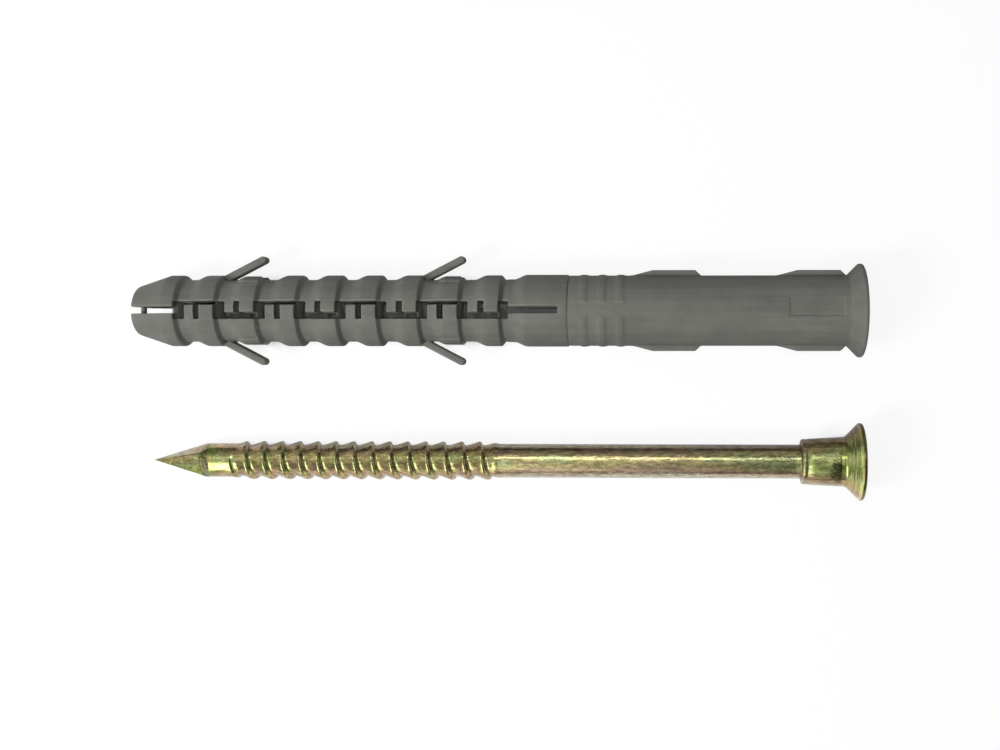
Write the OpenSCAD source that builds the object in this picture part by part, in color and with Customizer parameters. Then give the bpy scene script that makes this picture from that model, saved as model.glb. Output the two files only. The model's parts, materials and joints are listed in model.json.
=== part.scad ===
// Hammer fixing plug: a slotted nylon expansion sleeve and the nail screw that is driven into it.
// The two lie side by side as they come to rest, with their heads at +X.
// Each is drawn along +X from its tip, about an axis at y = 0 and z = 0, and is then laid on z = 0.

/* [Sleeve] */
// Length from the nose to the flange's face
sleeve_length = 100; // [98:1:120]
// Diameter of the body, the neck and the ring crests
body_d = 9.8; // [9.4:0.1:11]
// Diameter of the flat nose
nose_d = 6.6; // [5.4:0.1:7.6]
// Length of the nose cone
nose_length = 4.75; // [3.5:0.25:6]
// Radius of the nose's edge
nose_round = 0.45; // [0.2:0.05:0.8]
// Length of the crest behind the nose cone
nose_crest = 1.7; // [1.2:0.1:2.2]

/* [Rings] */
// Number of rings behind the nose
ring_count = 8; // [7:1:8]
// Distance from one ring to the next
ring_pitch = 5.5; // [5.3:0.1:6]
// Diameter of the valleys between the rings
valley_d = 8.55; // [8.2:0.05:9.2]
// Length of the steep drop behind a crest
drop_length = 0.5; // [0.3:0.1:0.8]
// Length of the floor of a valley
valley_length = 1.15; // [0.8:0.05:1.4]
// Length of the smooth ramp from a valley up to a crest
ramp_length = 1.95; // [1.5:0.05:2.3]

/* [Neck and ribs] */
// Length from the last crest to the step behind the neck
neck_length = 9.3; // [8:0.1:10]
// Height of the step behind the neck
neck_step = 0.05; // [0.03:0.01:0.15]
// Number of fine ribs behind the neck
rib_count = 3; // [1:1:3]
// Distance from one rib to the next
rib_pitch = 2.5; // [2:0.1:2.8]
// Distance from the neck's step to the middle of the first rib
rib_offset = 2.1; // [1.5:0.1:2.6]
// Width of a rib
rib_width = 1.4; // [1:0.1:1.8]
// Height of a rib
rib_height = 0.12; // [0.08:0.02:0.3]
// Width of the flat that breaks the ribs above and below
rib_break = 1.9; // [1:0.1:3]

/* [Fins] */
// Height of the anti-rotation fins above the body
fin_height = 0.72; // [0.4:0.02:1.2]
// Width of the fins
fin_width = 1.6; // [1:0.1:2.4]
// Length of a fin's sloping front
fin_ramp = 3.1; // [2:0.1:4]
// Length of a fin's level top
fin_top = 5.9; // [4:0.1:7]
// Length of a fin's sloping back
fin_back = 0.85; // [0.4:0.05:1.5]
// Distance from one fin to the next
fin_pitch = 19.9; // [14:0.1:20]
// Distance from the last fin to the flange
fin_gap = 0.2; // [0.1:0.1:2]

/* [Flange] */
// Wall of the flange's rim around the screw's head
flange_wall = 1; // [0.7:0.05:1.6]
// Length of the flange's rim
flange_rim = 0.55; // [0.5:0.05:1]
// Radius of the rim's edges
flange_round = 0.22; // [0.1:0.02:0.24]
// Length of the shallow bare field near the flange
field_length = 7.35; // [5:0.05:9]
// Width of the field
field_width = 2.55; // [1.5:0.05:3.5]
// Depth of the field
field_depth = 0.1; // [0.05:0.01:0.3]
// Distance from the field to the flange
field_gap = 0.9; // [0.3:0.1:2]
// Angle by which the field lies round the body from its top, away from the screw
field_turn = 4.5; // [0:0.5:20]

/* [Split] */
// Width of the slot through the nose
nose_slot = 0.9; // [0.6:0.05:1.2]
// Width of the slit through the neck
neck_slit = 0.9; // [0.6:0.05:1.2]
// Solid length between the neck's slit and its step
neck_land = 1.3; // [0.8:0.1:2.5]
// Width of the band in which the split runs from side to side
split_band = 2.4; // [2:0.05:2.6]
// Width of the slit over a tongue of the lower half
narrow_slit = 0.5; // [0.3:0.05:0.6]
// Width of the slit under a tongue of the upper half
wide_slit = 0.92; // [0.6:0.02:1]
// Length of the open window behind each crest
window_length = 1.35; // [1.1:0.05:1.6]
// Width of the notch in each tongue
notch_width = 0.85; // [0.6:0.05:1]
// Distance from a crest's end to the middle of the notch
notch_offset = 3.15; // [2.9:0.05:3.4]
// Distance from the nose to the web across its slot
web_offset = 0.25; // [0.2:0.05:1]
// Length of the web
web_length = 0.62; // [0.4:0.02:1]
// Thickness of the web
web_thickness = 0.8; // [0.5:0.05:1]

/* [Barbs] */
// Crests that carry a pair of barbs, counted from the nose's crest as 0
barb_crests = [1, 6];
// Thickness of a barb
barb_thickness = 1; // [0.8:0.05:1.2]
// Width of a barb
barb_width = 1.9; // [1.4:0.1:2.6]
// Angle between a barb and the axis
barb_angle = 27.5; // [20:0.5:35]
// Length of a barb from its crest to the middle of its round end
barb_length = 6.1; // [4.5:0.1:7]
// Depth of a barb's middle line below the crest
barb_sink = 0.7; // [0.25:0.05:0.9]
// Play of a folded barb in its pocket, on each side
barb_play = 0.25; // [0.1:0.05:0.5]

/* [Screw] */
// Length from the point to the head's face
screw_length = 99.4; // [92:0.1:99.6]
// Diameter of the plain shank
shank_d = 4.7; // [4.5:0.05:5]
// Length of the four-sided point along its edges
point_length = 7.4; // [6:0.1:8]
// Width of the point where its edges meet the shank
point_width = 3.9; // [3.4:0.05:4.2]
// Length of the slope behind the point's wide faces
point_shoulder = 0.7; // [0.4:0.1:1.2]
// Turn of the point's faces about the axis
point_turn = 24; // [0:1:45]
// Diameter of the collar at the shank
collar_tip_d = 6.25; // [5.6:0.05:6.6]
// Diameter of the collar at the head
collar_d = 6.85; // [6.7:0.05:7.4]
// Length of the collar
collar_length = 5.7; // [3:0.1:8]
// Length of the slope at the collar's front edge
collar_edge = 0.35; // [0.2:0.05:0.8]
// Diameter of the head
head_d = 10.7; // [10:0.1:11.5]
// Radius of the hollow between the collar and the head
head_fillet = 0.6; // [0.3:0.1:1.2]
// Length of the head's rim
head_rim = 0.6; // [0.5:0.05:1]
// Radius of the rim's edges
head_round = 0.2; // [0.1:0.02:0.24]
// Width over the cross recess
drive_d = 5.6; // [4.5:0.1:6.4]
// Width of the wings of the cross recess
drive_wing = 1.2; // [0.9:0.1:1.6]
// Depth of the cross recess
drive_depth = 2.6; // [1.6:0.1:3.4]

/* [Thread] */
// Diameter over the thread's crests
thread_d = 5.35; // [5.1:0.05:5.6]
// Diameter at the thread's root
root_d = 4.3; // [4:0.05:4.4]
// Thread pitch
thread_pitch = 2.54; // [2.5:0.02:3]
// Distance from the point to the start of the thread
thread_start = 11.15; // [10.2:0.05:14]
// Length of the thread
thread_length = 37.6; // [30:0.1:44]
// Length of the thread's rising flank
thread_ramp = 1.7; // [1.4:0.05:1.8]
// Width of the thread's crest
thread_crest = 0.2; // [0.1:0.02:0.24]
// Length of the thread's falling flank
thread_drop = 0.45; // [0.3:0.05:0.5]
// Length over which the thread rises and fades
thread_fade = 2.5; // [1.5:0.1:3.5]
// Length of the slope between the thread and the plain shank
shoulder = 0.4; // [0.2:0.05:0.8]

/* [Fits] */
// Play between the thread and the sleeve's bore, all round
bore_play = 0.15; // [0.08:0.01:0.3]
// Play between the screw's head and collar and the sleeve's mouth, all round
mouth_play = 0.1; // [0.05:0.01:0.2]
// Diameter of the bore in the nose
tip_bore_d = 2.2; // [1.6:0.1:2.8]
// Diameter of the bore between the rings, where they end
grip_bore_d = 3.4; // [2.8:0.1:4.4]
// Length over which the bore then widens for the thread
bore_funnel = 4; // [2:0.5:5]
// Free space between the sleeve and the screw as they lie
lay_gap = 8.05; // [4:0.05:20]
// Distance by which the screw's head lies ahead of the flange
lay_ahead = 0.3; // [0:0.1:2]

/* [Hidden] */
$fn = 96;
eps = 0.01;
body_r = body_d / 2;
rear_r = body_r - neck_step;
valley_r = valley_d / 2;
nose_r = nose_d / 2;
fin_r = rear_r + fin_height;
first_drop = nose_length + nose_crest;
rings_end = first_drop + ring_count * ring_pitch;
neck_end = rings_end + neck_length;
mouth_r = head_d / 2 + mouth_play;
flange_r = mouth_r + flange_wall;
flange_start = sleeve_length - flange_rim - (flange_r - rear_r);
bore_r = thread_d / 2 + bore_play;
collar_bore_r = collar_d / 2 + mouth_play;
seat_end = sleeve_length - head_rim;
seat_start = seat_end - (mouth_r - collar_bore_r);
barb_reach = body_r - barb_sink + barb_length * sin(barb_angle) + barb_thickness / 2;
sleeve_half_width = max(barb_reach, flange_r);

shank_r = shank_d / 2;
head_r = head_d / 2;
crest_r = thread_d / 2;
root_r = root_d / 2;
point_thickness = sqrt(pow(shank_d, 2) - pow(point_width, 2));
lip_r = (root_r + shank_r) / 2;
thread_end = thread_start + thread_length;
buried_start = thread_start - shoulder;
buried_end = thread_end + shoulder;
head_cone = head_r - collar_d / 2 - head_fillet * (1 - cos(45));
head_start = screw_length - head_rim - head_cone - head_fillet * sin(45);
collar_start = head_start - collar_length;
thread_sides = 24;
thread_offsets = [0, thread_ramp, thread_ramp + thread_crest, thread_ramp + thread_crest + thread_drop];
thread_heights = [0, 1, 1, 0];
thread_rows = thread_sides * (ceil((buried_end - buried_start) / thread_pitch) + 2);

// The angle by which a piece tips when it rests on a low point near its tip and on its rounded rim
function rest_tilt(low, rim, round) =
    asin(round / norm(rim - low)) - atan2(rim[1] - low[1], rim[0] - low[0]);

sleeve_low = [nose_length, -body_r];
sleeve_tilt = rest_tilt(sleeve_low, [sleeve_length - flange_round, flange_round - flange_r], flange_round);
screw_low = [buried_start + thread_pitch + thread_ramp, -crest_r];
screw_tilt = rest_tilt(screw_low, [screw_length - head_round, head_round - head_r], head_round);

// How far a tipped piece reaches along X, in front of and behind its tip
function reach(length, rim_r, round, tilt) =
    (length - round) * cos(tilt) + (rim_r - round) * sin(tilt) + round;

sleeve_front = reach(sleeve_length, flange_r, flange_round, sleeve_tilt);
screw_front = reach(screw_length, head_r, head_round, screw_tilt);
sleeve_back = (nose_r - nose_round) * sin(sleeve_tilt) + nose_round * (1 - cos(sleeve_tilt));
lay_length = max(lay_ahead + sleeve_front + sleeve_back, screw_front);
lay_width = 2 * sleeve_half_width + lay_gap + 2 * head_r;

expansion_sleeve();
nail_screw();

// Turns a profile of [radius, distance from the tip] about the X axis
module turned(profile) {
    rotate([0, 90, 0])
        rotate_extrude()
            polygon(profile);
}

// Tips a piece about its low point and sets that point on the floor
module lay(x, y, low, tilt) {
    translate([x, y, -low[0] * sin(tilt) - low[1] * cos(tilt)])
        rotate([0, -tilt, 0])
            children();
}

// Points of a round edge, from one angle to another
function edge(middle_r, middle_x, round, from, to, steps = 4) =
    [for (i = [0 : steps]) let (a = from + (to - from) * i / steps)
        [middle_r + round * cos(a), middle_x + round * sin(a)]];

// Smooth rise from one radius to another
function rise(x, length, from_r, to_r, steps = 6) =
    [for (i = [0 : steps]) [from_r + (to_r - from_r) * (1 - cos(180 * i / steps)) / 2, x + length * i / steps]];

// One ring from the drop in front of it to the end of its crest
function ring(x) = concat(
    [[body_r, x], [valley_r, x + drop_length]],
    rise(x + drop_length + valley_length, ramp_length, valley_r, body_r));

// The outside of the sleeve, without fins and barbs
module sleeve_body() {
    turned(concat(
        [[0, 0]],
        edge(nose_r - nose_round, nose_round, nose_round, -90, -18),
        [[body_r, nose_length]],
        [for (k = [0 : ring_count]) each ring(first_drop + k * ring_pitch)],
        [[body_r, neck_end], [rear_r, neck_end], [rear_r, flange_start]],
        edge(flange_r - flange_round, sleeve_length - flange_rim + flange_round, flange_round, -45, 0),
        edge(flange_r - flange_round, sleeve_length - flange_round, flange_round, 0, 90),
        [[0, sleeve_length]]));
}

// The fine ribs behind the neck, broken by a flat above and below
module ribs() {
    for (i = [0 : rib_count - 1])
        difference() {
            translate([neck_end + rib_offset + i * rib_pitch, 0, 0])
                turned([
                    [rear_r - 0.5, -rib_width / 2],
                    [rear_r, -rib_width / 2],
                    [rear_r + rib_height, -rib_width / 4],
                    [rear_r + rib_height, rib_width / 4],
                    [rear_r, rib_width / 2],
                    [rear_r - 0.5, rib_width / 2]]);
            translate([neck_end, -rib_break / 2, -body_d])
                cube([rib_count * rib_pitch + rib_offset, rib_break, 2 * body_d]);
        }
}

// One fin above and one below the middle line, as seen from above
module fins() {
    fin_length = fin_ramp + fin_top + fin_back;
    for (i = [0, 1], side = [0, 1])
        mirror([0, side, 0])
            translate([flange_start - fin_gap - fin_length - i * fin_pitch, 0, -fin_width / 2])
                linear_extrude(fin_width)
                    polygon([
                        [0, collar_bore_r],
                        [0, rear_r - 0.1],
                        [fin_ramp, fin_r],
                        [fin_ramp + fin_top, fin_r],
                        [fin_ramp + fin_top + fin_back, rear_r - 0.1],
                        [fin_ramp + fin_top + fin_back, collar_bore_r]]);
}

// Places a shape at the root of every barb
module at_barbs() {
    for (k = barb_crests, side = [0, 1])
        mirror([0, side, 0])
            translate([first_drop + k * ring_pitch, 0, 0])
                children();
}

// A strip with a round end that springs out towards the flange
module barb() {
    translate([0, body_r - barb_sink, -barb_width / 2])
        rotate([0, 0, barb_angle])
            linear_extrude(barb_width)
                union() {
                    translate([-nose_crest, -barb_thickness / 2])
                        square([barb_length + nose_crest, barb_thickness]);
                    translate([barb_length, 0])
                        circle(d = barb_thickness);
                }
}

// The pocket in the next ring, into which a barb folds
module barb_pocket() {
    pocket_width = barb_width + 2 * barb_play;
    translate([drop_length, valley_r, -pocket_width / 2])
        cube([ring_pitch, body_d, pocket_width]);
}

// The way of the screw: narrow between the rings, straight behind them, and wide at the mouth
module bore() {
    turned([
        [0, -1],
        [tip_bore_d / 2, -1],
        [tip_bore_d / 2, first_drop],
        [grip_bore_d / 2, rings_end - bore_funnel],
        [bore_r, rings_end],
        [bore_r, seat_start - collar_length],
        [collar_bore_r, seat_start - collar_length],
        [collar_bore_r, seat_start],
        [mouth_r, seat_end],
        [mouth_r, sleeve_length + 1],
        [0, sleeve_length + 1]]);
}

// The tongue between two windows: its slit and its notch, for a tongue of the lower or the upper half
module tongue_cut(x, upper) {
    slit = upper ? wide_slit : narrow_slit;
    side = upper ? -1 : 1;
    translate([x, side * (split_band - slit) / 2 - slit / 2])
        square([ring_pitch + eps, slit]);
    translate([x + notch_offset - notch_width / 2, -split_band / 2])
        square([notch_width, split_band]);
}

// The split of one side of the sleeve, as seen from above
module split_outline() {
    translate([-1, -nose_slot / 2])
        square([first_drop + 1 + eps, nose_slot]);
    for (k = [0 : ring_count])
        translate([first_drop + k * ring_pitch, -split_band / 2])
            square([window_length, split_band]);
    for (k = [0 : ring_count - 1])
        tongue_cut(first_drop + k * ring_pitch, k % 2 == 1);
    translate([rings_end, -neck_slit / 2])
        square([neck_end - neck_land - rings_end, neck_slit]);
}

// The split of both sides, each half of the sleeve being the other turned about the axis
module split() {
    for (turn = [0, 180])
        rotate([turn, 0, 0])
            linear_extrude(body_d)
                split_outline();
}

// The thin web that holds the halves of the nose together until the screw parts them
module web() {
    width = tip_bore_d + nose_slot;
    translate([web_offset, -width / 2, -web_thickness / 2])
        cube([web_length, width, web_thickness]);
}

// The shallow bare field near the flange
module field() {
    half_turn = asin(field_width / 2 / rear_r);
    translate([flange_start - field_gap - field_length, 0, 0])
        rotate([0, 90, 0])
            rotate([0, 0, 180 - half_turn - field_turn])
                rotate_extrude(angle = 2 * half_turn)
                    translate([rear_r - field_depth, 0])
                        square([1, field_length]);
}

module expansion_sleeve() {
    color([0.42, 0.42, 0.4])
        lay(
            lay_length / 2 - lay_ahead - sleeve_front,
            lay_width / 2 - sleeve_half_width,
            sleeve_low,
            sleeve_tilt
        ) {
            difference() {
                union() {
                    difference() {
                        sleeve_body();
                        at_barbs() barb_pocket();
                    }
                    ribs();
                    fins();
                    at_barbs() barb();
                }
                bore();
                split();
                field();
            }
            web();
        }
}

// Four flat faces that meet in the tip, wide ones above and below
module point_faces() {
    end = thread_start + 1;
    y = point_width / 2 * end / point_length;
    z = point_thickness / 2 * end / point_length;
    rotate([point_turn, 0, 0])
        polyhedron(
            [[0, 0, 0], [end, -y, -z], [end, y, -z], [end, y, z], [end, -y, z]],
            [[0, 1, 2], [0, 2, 3], [0, 3, 4], [0, 4, 1], [4, 3, 2, 1]]);
}

// The slope from the wide faces up to the round shank
module point_slope() {
    steepness = (shank_r - point_thickness / 2) / point_shoulder;
    buried = point_thickness / 4;
    turned([
        [0, point_length - buried / steepness],
        [point_thickness / 2 - buried, point_length - buried / steepness],
        [shank_d, point_length + point_shoulder + shank_r / steepness],
        [shank_d, thread_start + 1],
        [0, thread_start + 1]]);
}

// The end of the shank with its point
module point() {
    intersection() {
        turned([
            [0, 0],
            [shank_r, 0],
            [shank_r, thread_start - shoulder],
            [lip_r, thread_start],
            [0, thread_start]]);
        union() {
            point_faces();
            point_slope();
        }
    }
}

// Share of the full thread height at a distance from the point
function thread_share(x) = max(0, min(1, (x - thread_start) / thread_fade, (thread_end - x) / thread_fade));

// A point on one of the thread's four helical edges, starting from below
function thread_point(row, line) =
    let (turn = 360 * row / thread_sides)
    let (free = buried_start + thread_pitch * (row / thread_sides - 1) + thread_offsets[line])
    let (x = max(buried_start, min(buried_end, free)))
    let (r = root_r + (crest_r - root_r) * thread_heights[line] * thread_share(free))
    [x, r * sin(turn), -r * cos(turn)];

// Whether two corners of a face are apart, which they aren't at the flat ends
function apart(a, b) = norm(a - b) > 1e-5;

// The threaded length, a right-hand thread with a long rising and a short falling flank
module thread() {
    points = [for (row = [0 : thread_rows], line = [0 : 3]) thread_point(row, line)];
    strips = [for (row = [0 : thread_rows - 1], line = [0 : 3])
        let (a = 4 * row + line)
        let (d = line < 3 ? a + 1 : a + 1 + 4 * (thread_sides - 1))
        if (d + 4 < len(points)) [a, d, d + 4, a + 4]];
    halves = [for (s = strips) each [[s[0], s[1], s[2]], [s[0], s[2], s[3]]]];
    faces = [for (f = halves)
        if (apart(points[f[0]], points[f[1]])
            && apart(points[f[1]], points[f[2]])
            && apart(points[f[2]], points[f[0]])) f];
    front = [for (i = [0 : thread_sides - 1]) 4 * i];
    back = [for (i = [0 : thread_sides - 1]) 4 * (thread_rows - i) + 3];
    polyhedron(points, concat(faces, [front, back]));
}

// The plain shank, the collar and the countersunk head
module shank() {
    turned(concat(
        [[0, thread_end], [lip_r, thread_end], [shank_r, thread_end + shoulder]],
        [[shank_r, collar_start], [collar_tip_d / 2 - 0.1, collar_start]],
        [[collar_tip_d / 2, collar_start + collar_edge]],
        edge(collar_d / 2 + head_fillet, head_start, head_fillet, 180, 135),
        edge(head_r - head_round, screw_length - head_rim + head_round, head_round, -45, 0),
        edge(head_r - head_round, screw_length - head_round, head_round, 0, 90),
        [[0, screw_length]]));
}

// The cross recess in the head's face
module drive() {
    translate([screw_length - drive_depth, 0, 0])
        intersection() {
            rotate([0, 90, 0])
                cylinder(h = drive_depth + eps, d1 = drive_d / 3, d2 = drive_d);
            union() {
                translate([0, -drive_d, -drive_wing / 2])
                    cube([drive_depth + 1, 2 * drive_d, drive_wing]);
                translate([0, -drive_wing / 2, -drive_d])
                    cube([drive_depth + 1, drive_wing, 2 * drive_d]);
            }
        }
}

module nail_screw() {
    color([0.72, 0.62, 0.3])
        lay(lay_length / 2 - screw_front, head_r - lay_width / 2, screw_low, screw_tilt)
            difference() {
                union() {
                    point();
                    thread();
                    shank();
                }
                drive();
            }
}
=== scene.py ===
"""A hammer fixing plug on a pale floor: a split nylon sleeve and the nail screw that is driven into it."""

import json
import logging
import math
from dataclasses import dataclass
from enum import Enum

import bmesh
import bpy
import numpy as np
from mathutils import Matrix, Vector

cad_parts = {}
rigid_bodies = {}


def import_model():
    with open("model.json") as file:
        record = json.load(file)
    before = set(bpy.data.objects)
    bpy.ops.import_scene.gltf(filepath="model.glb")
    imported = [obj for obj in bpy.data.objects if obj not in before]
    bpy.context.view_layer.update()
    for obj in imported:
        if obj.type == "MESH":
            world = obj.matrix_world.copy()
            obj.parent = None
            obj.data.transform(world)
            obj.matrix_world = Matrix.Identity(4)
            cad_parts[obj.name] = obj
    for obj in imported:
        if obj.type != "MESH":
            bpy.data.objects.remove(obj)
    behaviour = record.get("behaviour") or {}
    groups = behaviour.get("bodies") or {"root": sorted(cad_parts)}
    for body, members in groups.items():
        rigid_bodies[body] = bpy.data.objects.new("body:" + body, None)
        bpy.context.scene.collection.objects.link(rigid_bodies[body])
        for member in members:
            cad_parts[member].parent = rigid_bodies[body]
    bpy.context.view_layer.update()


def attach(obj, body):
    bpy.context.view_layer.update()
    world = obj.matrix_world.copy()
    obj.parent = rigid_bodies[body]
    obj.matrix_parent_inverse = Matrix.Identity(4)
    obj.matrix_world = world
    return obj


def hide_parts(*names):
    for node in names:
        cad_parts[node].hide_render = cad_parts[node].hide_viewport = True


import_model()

MM = 0.001
BODY = "root"
EDGE_MARK = "edge"
NOISE_MIDDLE = 0.5
TINY = 1e-6
LOG = logging.getLogger("hammer_fixing")

Socket = bpy.types.NodeSocket
Sockets = bpy.types.bpy_prop_collection
Point = tuple[float, float, float]
Colour = tuple[float, float, float]
Span = tuple[float, float]
Fade = tuple[float, float, float, float]
Rect = tuple[float, float, float, float]
Stops = tuple[tuple[float, float], ...]


@dataclass(frozen=True)
class Lay:
    """How a piece lies: the place of its tip's middle in millimetres, and how far its head is raised."""

    tip: Point
    tilt_deg: float

    def matrix(self) -> Matrix:
        """Works out how the piece is moved to where it lies.

        Returns:
            The matrix from the piece's own millimetres to the scene's metres.
        """
        place = Matrix.Translation(Vector(self.tip) * MM)
        turn = Matrix.Rotation(math.radians(-self.tilt_deg), 4, "Y")
        return place @ turn @ Matrix.Scale(MM, 4)

    def axis(self) -> Point:
        """Returns the direction from the tip to the head."""
        tilt = math.radians(self.tilt_deg)
        return math.cos(tilt), 0.0, math.sin(tilt)


SLEEVE_LAY = Lay((-50.1709, 9.375, 4.82188), 0.93447)
SCREW_LAY = Lay((-49.29607, -11.54167, 2.19775), 1.8195)


# Mesh and field helpers


def soft_max(a: np.ndarray, b: np.ndarray, round_mm: float) -> np.ndarray:
    """Takes the larger of two distances, with a round edge where they meet.

    Args:
        a: Distances of the first solid.
        b: Distances of the second solid.
        round_mm: Size of the round edge.

    Returns:
        The distances of the space that both solids share.
    """
    overlap = np.maximum(round_mm - np.abs(a - b), 0.0)
    return np.maximum(a, b) + overlap * overlap / (4.0 * round_mm)


def soft_min(a: np.ndarray, b: np.ndarray, round_mm: float) -> np.ndarray:
    """Joins two solids with a hollow fillet of the given size."""
    return -soft_max(-a, -b, round_mm)


def smooth_step(low: float, high: float, value: np.ndarray) -> np.ndarray:
    """Rises smoothly from 0 at the low value to 1 at the high one."""
    t = np.clip((value - low) / (high - low), 0.0, 1.0)
    return t * t * (3.0 - 2.0 * t)


def box_distance(x: np.ndarray, y: np.ndarray, rect: Rect) -> np.ndarray:
    """Gives the distance to a flat rectangle.

    Args:
        x: Places along the axis.
        y: Places across the axis.
        rect: Lowest x, highest x, lowest y and highest y.

    Returns:
        The distances, negative inside.
    """
    x0, x1, y0, y1 = rect
    qx = np.abs(x - (x0 + x1) / 2) - (x1 - x0) / 2
    qy = np.abs(y - (y0 + y1) / 2) - (y1 - y0) / 2
    outside = np.hypot(np.maximum(qx, 0.0), np.maximum(qy, 0.0))
    return outside + np.minimum(np.maximum(qx, qy), 0.0)


def surface_of(field: np.ndarray, start: Vector, step: float) -> tuple[np.ndarray, np.ndarray]:
    """Wraps a quad surface round the negative part of a distance field.

    Args:
        field: Distances on a regular grid.
        start: Place of the grid's first point.
        step: Distance between grid points.

    Returns:
        The points and the quads of a closed surface.
    """
    inside = field < 0.0
    cells = np.zeros(tuple(n - 1 for n in field.shape), dtype=np.uint8)
    corners = [(i, j, k) for i in (0, 1) for j in (0, 1) for k in (0, 1)]
    nx, ny, nz = cells.shape
    for i, j, k in corners:
        cells += inside[i:nx + i, j:ny + j, k:nz + k]
    active = np.argwhere((cells > 0) & (cells < len(corners)))
    index = np.full(cells.shape, -1, dtype=np.int32)
    index[tuple(active.T)] = np.arange(len(active), dtype=np.int32)

    # Each cell that the surface passes through gets one point, the mean of where it cuts the cell's edges
    total = np.zeros((len(active), 3))
    count = np.zeros((len(active), 1))
    for axis in range(3):
        others = [a for a in range(3) if a != axis]
        for u in (0, 1):
            for v in (0, 1):
                near = np.zeros(3, dtype=int)
                near[others[0]], near[others[1]] = u, v
                far = near.copy()
                far[axis] = 1
                a = field[tuple((active + near).T)]
                b = field[tuple((active + far).T)]
                cut = (a < 0.0) != (b < 0.0)
                share = np.where(cut, a / np.where(cut, a - b, 1.0), 0.0)
                points = active + near + share[:, None] * (far - near)
                total += np.where(cut[:, None], points, 0.0)
                count += cut[:, None]
    points = total / count * step + np.array(start)

    # Each grid edge that the surface cuts gets a quad through the four cells round it
    quads = []
    for axis in range(3):
        u, v = (axis + 1) % 3, (axis + 2) % 3
        lower = [slice(1, n) for n in cells.shape]
        lower[axis] = slice(0, field.shape[axis] - 1)
        upper = list(lower)
        upper[axis] = slice(1, field.shape[axis])
        first, second = inside[tuple(lower)], inside[tuple(upper)]
        for leaving in (True, False):
            at = np.argwhere((first & ~second) if leaving else (~first & second))
            shift = np.ones(3, dtype=int)
            shift[axis] = 0
            at = at + shift
            ring = []
            for du, dv in ((-1, -1), (0, -1), (0, 0), (-1, 0)):
                cell = at.copy()
                cell[:, u] += du
                cell[:, v] += dv
                ring.append(index[tuple(cell.T)])
            quads.append(np.stack(ring if leaving else ring[::-1], axis=1))
    return points, np.concatenate(quads)


def mesh_from_arrays(name: str, points: np.ndarray, quads: np.ndarray) -> bpy.types.Mesh:
    """Makes a mesh from arrays.

    Args:
        name: Name of the mesh.
        points: One row for each point.
        quads: One row of four point numbers for each face.

    Returns:
        The mesh.
    """
    mesh = bpy.data.meshes.new(name)
    mesh.vertices.add(len(points))
    mesh.vertices.foreach_set("co", np.ascontiguousarray(points, dtype=np.float32).ravel())
    mesh.loops.add(quads.size)
    mesh.loops.foreach_set("vertex_index", np.ascontiguousarray(quads, dtype=np.int32).ravel())
    mesh.polygons.add(len(quads))
    mesh.polygons.foreach_set("loop_start", np.arange(0, quads.size, 4, dtype=np.int32))
    mesh.update(calc_edges=True)
    mesh.validate()
    return mesh


def arc(centre: Span, radius: float, first: float, last: float, steps: int) -> list[Span]:
    """Sets out a round on a turned piece.

    Args:
        centre: Station and radius of the round's middle.
        radius: Radius of the round itself.
        first: Angle in degrees where it starts, from straight out towards the head.
        last: Angle in degrees where it ends.
        steps: Number of steps between the two.

    Returns:
        Its stations along the piece and their radii.
    """
    angles = np.radians(np.linspace(first, last, steps + 1))
    return [(centre[0] + radius * math.sin(a), centre[1] + radius * math.cos(a)) for a in angles]


def new_object(name: str, mesh: bpy.types.Mesh) -> bpy.types.Object:
    """Links a new object into the scene.

    Args:
        name: Name of the object.
        mesh: Its mesh.

    Returns:
        The object.
    """
    made = bpy.data.objects.new(name, mesh)
    bpy.context.scene.collection.objects.link(made)
    return made


def settle(source: bpy.types.Object, name: str) -> bpy.types.Object:
    """Turns an object and its modifiers into a new object with a plain mesh.

    Args:
        source: The object to evaluate, which is removed.
        name: Name of the new object and its mesh.

    Returns:
        The new object.
    """
    bpy.context.view_layer.update()
    seen = source.evaluated_get(bpy.context.evaluated_depsgraph_get())
    mesh = bpy.data.meshes.new_from_object(seen)
    mesh.name = name
    old = source.data
    bpy.data.objects.remove(source)
    bpy.data.meshes.remove(old)
    return new_object(name, mesh)


def mark_edges(mesh: bpy.types.Mesh, sharp: float = 2500.0, passes: int = 2) -> None:
    """Stores how far each point stands out, from -1 in a hollow to 1 on an edge, for the finishes' wear.

    Args:
        mesh: The mesh in metres, which gets the point attribute.
        sharp: Half the curvature that counts as a full edge.
        passes: How often the values are evened out with their neighbours.
    """
    count = len(mesh.vertices)
    places = np.empty(count * 3, dtype=np.float32)
    normals = np.empty(count * 3, dtype=np.float32)
    pairs = np.empty(len(mesh.edges) * 2, dtype=np.int32)
    mesh.vertices.foreach_get("co", places)
    mesh.vertex_normals.foreach_get("vector", normals)
    mesh.edges.foreach_get("vertices", pairs)
    places, normals = places.reshape(-1, 3), normals.reshape(-1, 3)
    a, b = pairs.reshape(-1, 2).T
    along = places[a] - places[b]
    reach = np.maximum((along ** 2).sum(axis=1), TINY ** 2)
    degree = np.maximum(np.bincount(a, minlength=count) + np.bincount(b, minlength=count), 1)
    bend = np.bincount(a, (normals[a] * along).sum(axis=1) / reach, count)
    bend -= np.bincount(b, (normals[b] * along).sum(axis=1) / reach, count)
    bend = np.clip(bend / degree / sharp, -1.0, 1.0)
    for _ in range(passes):
        near = np.bincount(a, bend[b], count) + np.bincount(b, bend[a], count)
        bend = (bend + near / degree) / 2
    mark = mesh.attributes.new(EDGE_MARK, "FLOAT", "POINT")
    mark.data.foreach_set("value", bend.astype(np.float32))


# Nodes


@dataclass(frozen=True)
class Change:
    """A smooth change of one value while another runs from low to high."""

    low: float
    high: float
    before: float
    after: float


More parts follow.
